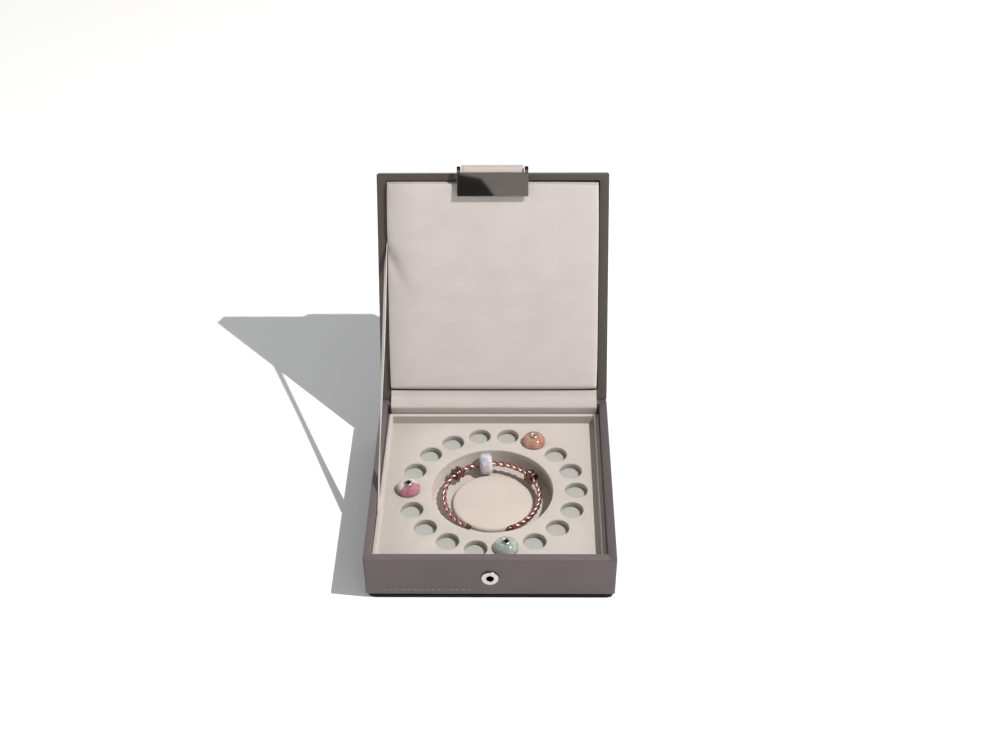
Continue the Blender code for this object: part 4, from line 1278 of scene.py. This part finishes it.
def bangle_place(angle):
    """A point of the bangle's middle line, an oval whose back is raised by the bead that it carries."""
    half_x, back, shift, left = DISC_RADIUS + 0.0038, DISC_RADIUS + 0.0034, 0.0029, 0.0004
    half_y = (back - shift) if math.sin(angle) > 0 else (DISC_RADIUS + shift)
    y = shift + half_y * math.sin(angle)
    low, high = FLOOR_HIGH[2] + 0.0021, FLOOR_HIGH[2] + 0.0081
    rise = (y + DISC_RADIUS) / (back + DISC_RADIUS)
    return Vector((half_x * math.cos(angle) - left, y, low + (high - low) * rise))


def along_bangle(angle):
    """A matrix at a point of the bangle, with Z along it."""
    step = math.radians(1)
    along = (bangle_place(angle + step) - bangle_place(angle - step)).normalized()
    side = along.cross(Vector((0, 0, 1))).normalized()
    turn = Matrix((side, along.cross(side), along)).transposed().to_4x4()
    return Matrix.Translation(bangle_place(angle)) @ turn


class CHARMBOX_OT_bangle(bpy.types.Operator):
    """Twisted rose gold bangle, its end caps, clips and opal bead"""
    bl_idname = "charm_box.bangle"
    bl_label = "Bangle"
    bl_options = {"REGISTER", "UNDO"}

    def execute(self, context):
        start, end = math.radians(-64), math.radians(239)
        self.strands(self.gold(), start, end)
        for side, angle, outward in (("right", start, -1), ("left", end, 1)):
            self.cap(side, along_bangle(angle), outward)
        for side, angle in (("left", 137), ("right", 35)):
            self.clip(side, along_bangle(math.radians(angle)))
        self.opal()
        return {"FINISHED"}

    def gold(self):
        """Rose gold with painted shade down between the strands and a painted highlight along their crests."""
        finish = Finish("rose_gold", 0.24, metallic=1.0)
        place = finish.place()
        cloud = finish.noise(place, 260, 3)
        hair = finish.noise(place, 2600, 2)
        colour = colours().rose_gold
        tone = finish.mix(cloud.ramp(0.4, 0.7) * 0.35, colour, shade(colour, 0.7))
        crest = finish.node("ShaderNodeAttribute", {"attribute_name": "crest"}, output="Fac")
        # painted shade in the grooves between strands, then a painted highlight on their crests
        tone = finish.mix(crest.ramp(0.1, 0.7), shade(colour, 0.30), tone)
        finish.colour(finish.mix(crest.ramp(0.86, 1.0) * 0.30, tone, linear(255, 232, 224)))
        finish.roughness(hair * 0.14 + 0.26)
        return finish.material

    def strands(self, gold, start, end):
        """Round strands twisted about the wire's middle line."""
        steps, radius, half_width, count, lead = 900, 0.00116, 0.00186, sizes().strands, sizes().twist
        offset = half_width - radius
        angles = [start + (end - start) * step / steps for step in range(steps + 1)]
        middle = [bangle_place(angle) for angle in angles]
        walked = [0]
        for before, after in zip(middle, middle[1:]):
            walked.append(walked[-1] + (after - before).length)
        curve = bpy.data.curves.new("bangle_rope", "CURVE")
        curve.dimensions = "3D"
        curve.bevel_depth = radius
        curve.bevel_resolution = 2
        curve.use_fill_caps = True
        for strand in range(count):
            places = []
            for angle, length in zip(angles, walked):
                turn = 2 * math.pi * (length / lead + strand / count)
                out = Vector((offset * math.cos(turn), offset * math.sin(turn), 0))
                places.append(along_bangle(angle) @ out)
            add_line(curve, places)
        rope = mesh_of("bangle_rope", curve)
        self.mark_crests(rope, middle, half_width)
        smooth(rope, 60)
        dress(rope, gold, "base", "bangle", slot="rose_gold")

    def mark_crests(self, rope, middle, half_width):
        """Stores on each vertex how far out from the middle line it lies, from 0 inside to 1 at the crests."""
        inside = 0.45
        tree = KDTree(len(middle))
        for index, place in enumerate(middle):
            tree.insert(place, index)
        tree.balance()
        crest = rope.data.attributes.new("crest", "FLOAT", "POINT")
        for vert, entry in zip(rope.data.vertices, crest.data):
            entry.value = share(tree.find(vert.co)[2], inside * half_width, half_width)

    def cap(self, side, matrix, outward):
        """A small rounded end cap."""
        collar, neck, length = 0.0018, 0.00155, 0.0028
        profile = [(0, 0), (collar, 0)] + arc((collar - 0.0001, 0.00035), 0.0003, -60, 60, 4)
        profile += [(neck, 0.0009), (neck, 0.0012)] + arc((0.0012, length - 0.0005), 0.0005, 0, 90, 5)
        profile += [(0, length)]
        place = matrix @ Matrix.Translation((0, 0, outward * 0.0003))
        if outward < 0:
            place = place @ Matrix.Rotation(math.pi, 4, "X")
        cap = turned("bangle_end_" + side, profile, place, 32)
        dress(cap, metal_finish("cap_" + side, shade(colours().rose_gold, 0.41), 0.25), "base",
              "bangle_cap_" + side, slot="rose_gold")

    def clip(self, side, matrix):
        """A waisted clip with a round flange at each end."""
        half, radius, bore, waist, flange = 0.0027, 0.0043, 0.0019, 0.0035, 0.0009
        face, shoulder = radius - 0.0008, radius - 0.0006
        profile = [(bore, -half), (face, -half)]
        profile += arc((radius - flange, -half + flange), flange, -80, 60, 6)
        for step in range(9):
            across = step / 4 - 1
            profile.append((waist + (shoulder - waist) * abs(across) ** 2.5, across * (half - 2 * flange)))
        profile += arc((radius - flange, half - flange), flange, -60, 80, 6)
        profile += [(face, half), (bore, half), (bore, -half)]
        clip = turned("clip_" + side, profile, matrix, 56)
        dress(clip, metal_finish("clip_gold_" + side, shade(colours().rose_gold, 0.50), 0.25), "base",
              "clip_bead_" + side, slot="rose_gold")

    def opal(self):
        """A milky bead on the bangle, with a silver core."""
        finish = Finish("opal_glass", 0.12, subsurface_weight=0.35, coat_weight=0.6)
        finish.shader.inputs["Subsurface Radius"].default_value = (0.004, 0.004, 0.005)
        finish.shader.inputs["Subsurface Scale"].default_value = 0.6
        place = finish.place()
        milk = finish.noise(place, 170, 4, 0.6, 0.6)
        fire = finish.noise(place, 330, 3, 0.5, 1.0)
        tone = finish.mix(milk.ramp(0.35, 0.7), linear(174, 172, 180), linear(214, 209, 216))
        finish.colour(finish.mix(fire.ramp(0.58, 0.75) * 0.5, tone, linear(214, 196, 226)))
        matrix = along_bangle(math.radians(98))
        half, radius, bore, edge, lead_in = 0.0041, 0.0071, 0.0021, 0.0027, 0.0003
        profile = [(bore + 2 * lead_in, -half)] + arc((radius - edge, -half + edge), edge, -84, -14, 8)
        profile += [(radius, 0)] + arc((radius - edge, half - edge), edge, 14, 84, 8)
        profile += [(bore + 2 * lead_in, half), (bore, half - lead_in), (bore, -half + lead_in), profile[0]]
        bead = turned("opal", profile, matrix, 72)
        dress(bead, finish.material, "base", "opal_bead", slot="opal_glass")
        core = bead_core("opal_core", 0.0048, 0.00195, 0.0029, matrix)
        silver = metal_finish("opal_core_silver", colours().nickel, 0.18)
        dress(core, silver, "base", "opal_bead_core", slot="bead_silver")


def bead_core(name, half, bore, lip, matrix):
    """Metal tube with a rolled lip at each end."""
    tube, edge, chamfer = bore + 0.0004, 0.0003, 0.0002
    lip_end, lip_foot, lip_face = half - 0.00005, half - 0.0004, lip - chamfer
    profile = [(bore, -half + chamfer)] + arc((bore + edge, -half + edge), edge, 200, 290, 3)
    profile += [(lip_face, -lip_end), (lip, -half + chamfer), (lip_face, -lip_foot), (tube, -lip_foot)]
    profile += [(tube, lip_foot), (lip_face, lip_foot), (lip, half - chamfer), (lip_face, lip_end)]
    profile += arc((bore + edge, half - edge), edge, 70, 160, 3)
    profile += [(bore, half - chamfer), (bore, -half + chamfer)]
    return turned(name, profile, matrix, 56)


class CHARMBOX_OT_beads(bpy.types.Operator):
    """Glass beads in three recesses, each on a metal core"""
    bl_idname = "charm_box.beads"
    bl_label = "Glass beads"
    bl_options = {"REGISTER", "UNDO"}

    def execute(self, context):
        silver = metal_finish("bead_silver", colours().nickel, 0.34)
        # the bores' insides paint the light and shade seen down each hole: painted light in the orange bead,
        # painted shade in the green and pink beads
        bright, dark = (Finish("inside_of_core_" + name, 0.8, metallic=0.2) for name in ("bright", "dark"))
        bright.colour(linear(214, 210, 204))
        dark.colour(linear(104, 98, 92))
        for colour, index, glass, inside in (("orange", 2, self.orange, bright), ("green", 9, self.green, dark),
                                             ("pink", 14, self.pink, dark)):
            low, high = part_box("bead_" + colour + "_core")
            centre = Vector((*recess_centre(index), (low[2] + high[2]) / 2))
            matrix = Matrix.Translation(centre)
            self.core(colour, (high[2] - low[2]) / 2, centre, silver, inside.material)
            low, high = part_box("bead_" + colour)
            bead = self.bead(colour, (high[0] - low[0]) / 2, (high[2] - low[2]) / 2, matrix)
            dress(bead, glass(centre), "base", "bead_" + colour, slot=colour + "_glass")
        return {"FINISHED"}

    def core(self, colour, half, centre, silver, inside):
        """A silver core whose bore has a material of its own."""
        bore, lip = 0.0018, 0.0026
        core = bead_core(colour + "_core", half, bore, lip, Matrix.Translation(centre))
        dress(core, silver, "base", "bead_" + colour + "_core", slot="bead_silver")
        core.data.materials.append(inside)
        for face in core.data.polygons:
            out = face.center - centre
            if out.to_2d().length < bore + 0.0001 and abs(out.z) < half - 0.0003:
                face.material_index = 1

    def bead(self, colour, radius, half, matrix):
        """A round bead, a little fuller below than above."""
        bore, steps, sag = 0.0025, 26, 0.0009
        inside, corner = bore - 0.0003, half * 0.95
        profile = [(inside, corner), (bore, half)]
        for step in range(1, steps):
            angle = math.radians(180 * step / steps)
            drop = sag * math.sin(angle) ** 2
            profile.append((bore + (radius - bore) * math.sin(angle) ** 0.93, half * math.cos(angle) - drop))
        profile += [(bore, -half), (inside, -corner), (inside, corner)]
        return turned(colour + "_bead", profile, matrix, 96)

    def around(self, finish, centre):
        """The direction round the bead's hole in radians, and the distance from its middle."""
        x, y = finish.axes(finish.place())[:2]
        x, y = x - centre.x, y - centre.y
        direction = finish.node("ShaderNodeMath", {"operation": "ARCTAN2"}, [y, x])
        return direction, from_axis(x, y)

    def glass(self, name):
        """Clear coat over a body that lets a little light in."""
        return Finish(name, 0.08, coat_weight=0.8, coat_roughness=0.03, subsurface_weight=0.15)

    def orange(self, centre):
        """Cloudy glass with a few bright flecks, the same all round."""
        finish = self.glass("orange_glass")
        place = finish.place()
        depth = finish.noise(place, 160, 4, 0.6, 0.8)
        glitter = finish.cells(place, 1500).below(0.16)
        tone = finish.mix(depth.ramp(0.3, 0.7), linear(166, 106, 88), linear(190, 144, 126))
        finish.colour(finish.mix(glitter * 0.5, tone, linear(226, 190, 170)))
        return finish.material

    def green(self, centre):
        """Grey-green glass that turns to teal at one side, with pale swirls round the hole."""
        finish = self.glass("green_glass")
        place = finish.place()
        direction, reach = self.around(finish, centre)
        flow = finish.noise(place, 120, 4, 0.6, 2.2)
        swirl = ((direction * 2 + reach * 700 + flow * 9).wave()).ramp(0.55, 0.95)
        teal = (0 - direction).ramp(-1.8, 0.6) * 0.6 + flow.ramp(0.35, 0.65) * 0.4
        tone = finish.mix(teal, linear(172, 173, 164), linear(138, 154, 144))
        finish.colour(finish.mix(swirl * 0.35, tone, linear(206, 212, 204)))
        return finish.material

    def pink(self, centre):
        """Clear glass with one pink petal, whose right half glitters."""
        finish = self.glass("pink_glass")
        place = finish.place()
        direction, reach = self.around(finish, centre)
        flow = finish.noise(place, 260, 3, 0.6, 1.0)
        wander = flow * 0.3
        sector = (direction + 1.15 + wander).ramp(-1.0, -0.9) * (1 - (direction + wander).ramp(0.25, 0.4))
        glitter = finish.cells(place, 1300).below(0.22)
        right = direction.ramp(-0.9, -0.7) * (1 - direction.ramp(0.9, 1.1))
        petal = finish.mix(flow.ramp(0.35, 0.65), linear(152, 88, 110), linear(176, 116, 130))
        clear = finish.mix(reach.ramp(0.0060, 0.0075), linear(214, 200, 196), linear(132, 122, 118))
        tone = finish.mix(sector, clear, petal)
        finish.colour(finish.mix(glitter * right * 0.8, tone, linear(240, 232, 238)))
        return finish.material


class CHARMBOX_PT_panel(bpy.types.Panel):
    """Sidebar panel with the sizes, the colours and one button for each group of pieces"""
    bl_idname = "CHARMBOX_PT_panel"
    bl_label = "Charm Jewelry Box"
    bl_space_type = "VIEW_3D"
    bl_region_type = "UI"
    bl_category = "Charm Box"

    def draw(self, context):
        for group in (context.scene.charm_box_sizes, context.scene.charm_box_colours):
            box = self.layout.box()
            for name in group.__annotations__:
                box.prop(group, name)
        for operator in OPERATORS:
            self.layout.operator(operator.bl_idname)


OPERATORS = (CHARMBOX_OT_stage, CHARMBOX_OT_base, CHARMBOX_OT_insert, CHARMBOX_OT_lid, CHARMBOX_OT_hinge,
             CHARMBOX_OT_clasp, CHARMBOX_OT_bangle, CHARMBOX_OT_beads)
CLASSES = (CharmBoxColours, CharmBoxSizes, *OPERATORS, CHARMBOX_PT_panel)


def register():
    for cls in CLASSES:
        bpy.utils.register_class(cls)
    bpy.types.Scene.charm_box_colours = PointerProperty(type=CharmBoxColours)
    bpy.types.Scene.charm_box_sizes = PointerProperty(type=CharmBoxSizes)


def unregister():
    del bpy.types.Scene.charm_box_sizes
    del bpy.types.Scene.charm_box_colours
    for cls in reversed(CLASSES):
        bpy.utils.unregister_class(cls)


def main():
    register()
    for operator in OPERATORS:
        group, name = operator.bl_idname.split(".")
        getattr(getattr(bpy.ops, group), name)()
    clear_selection()


if __name__ == "__main__":
    main()
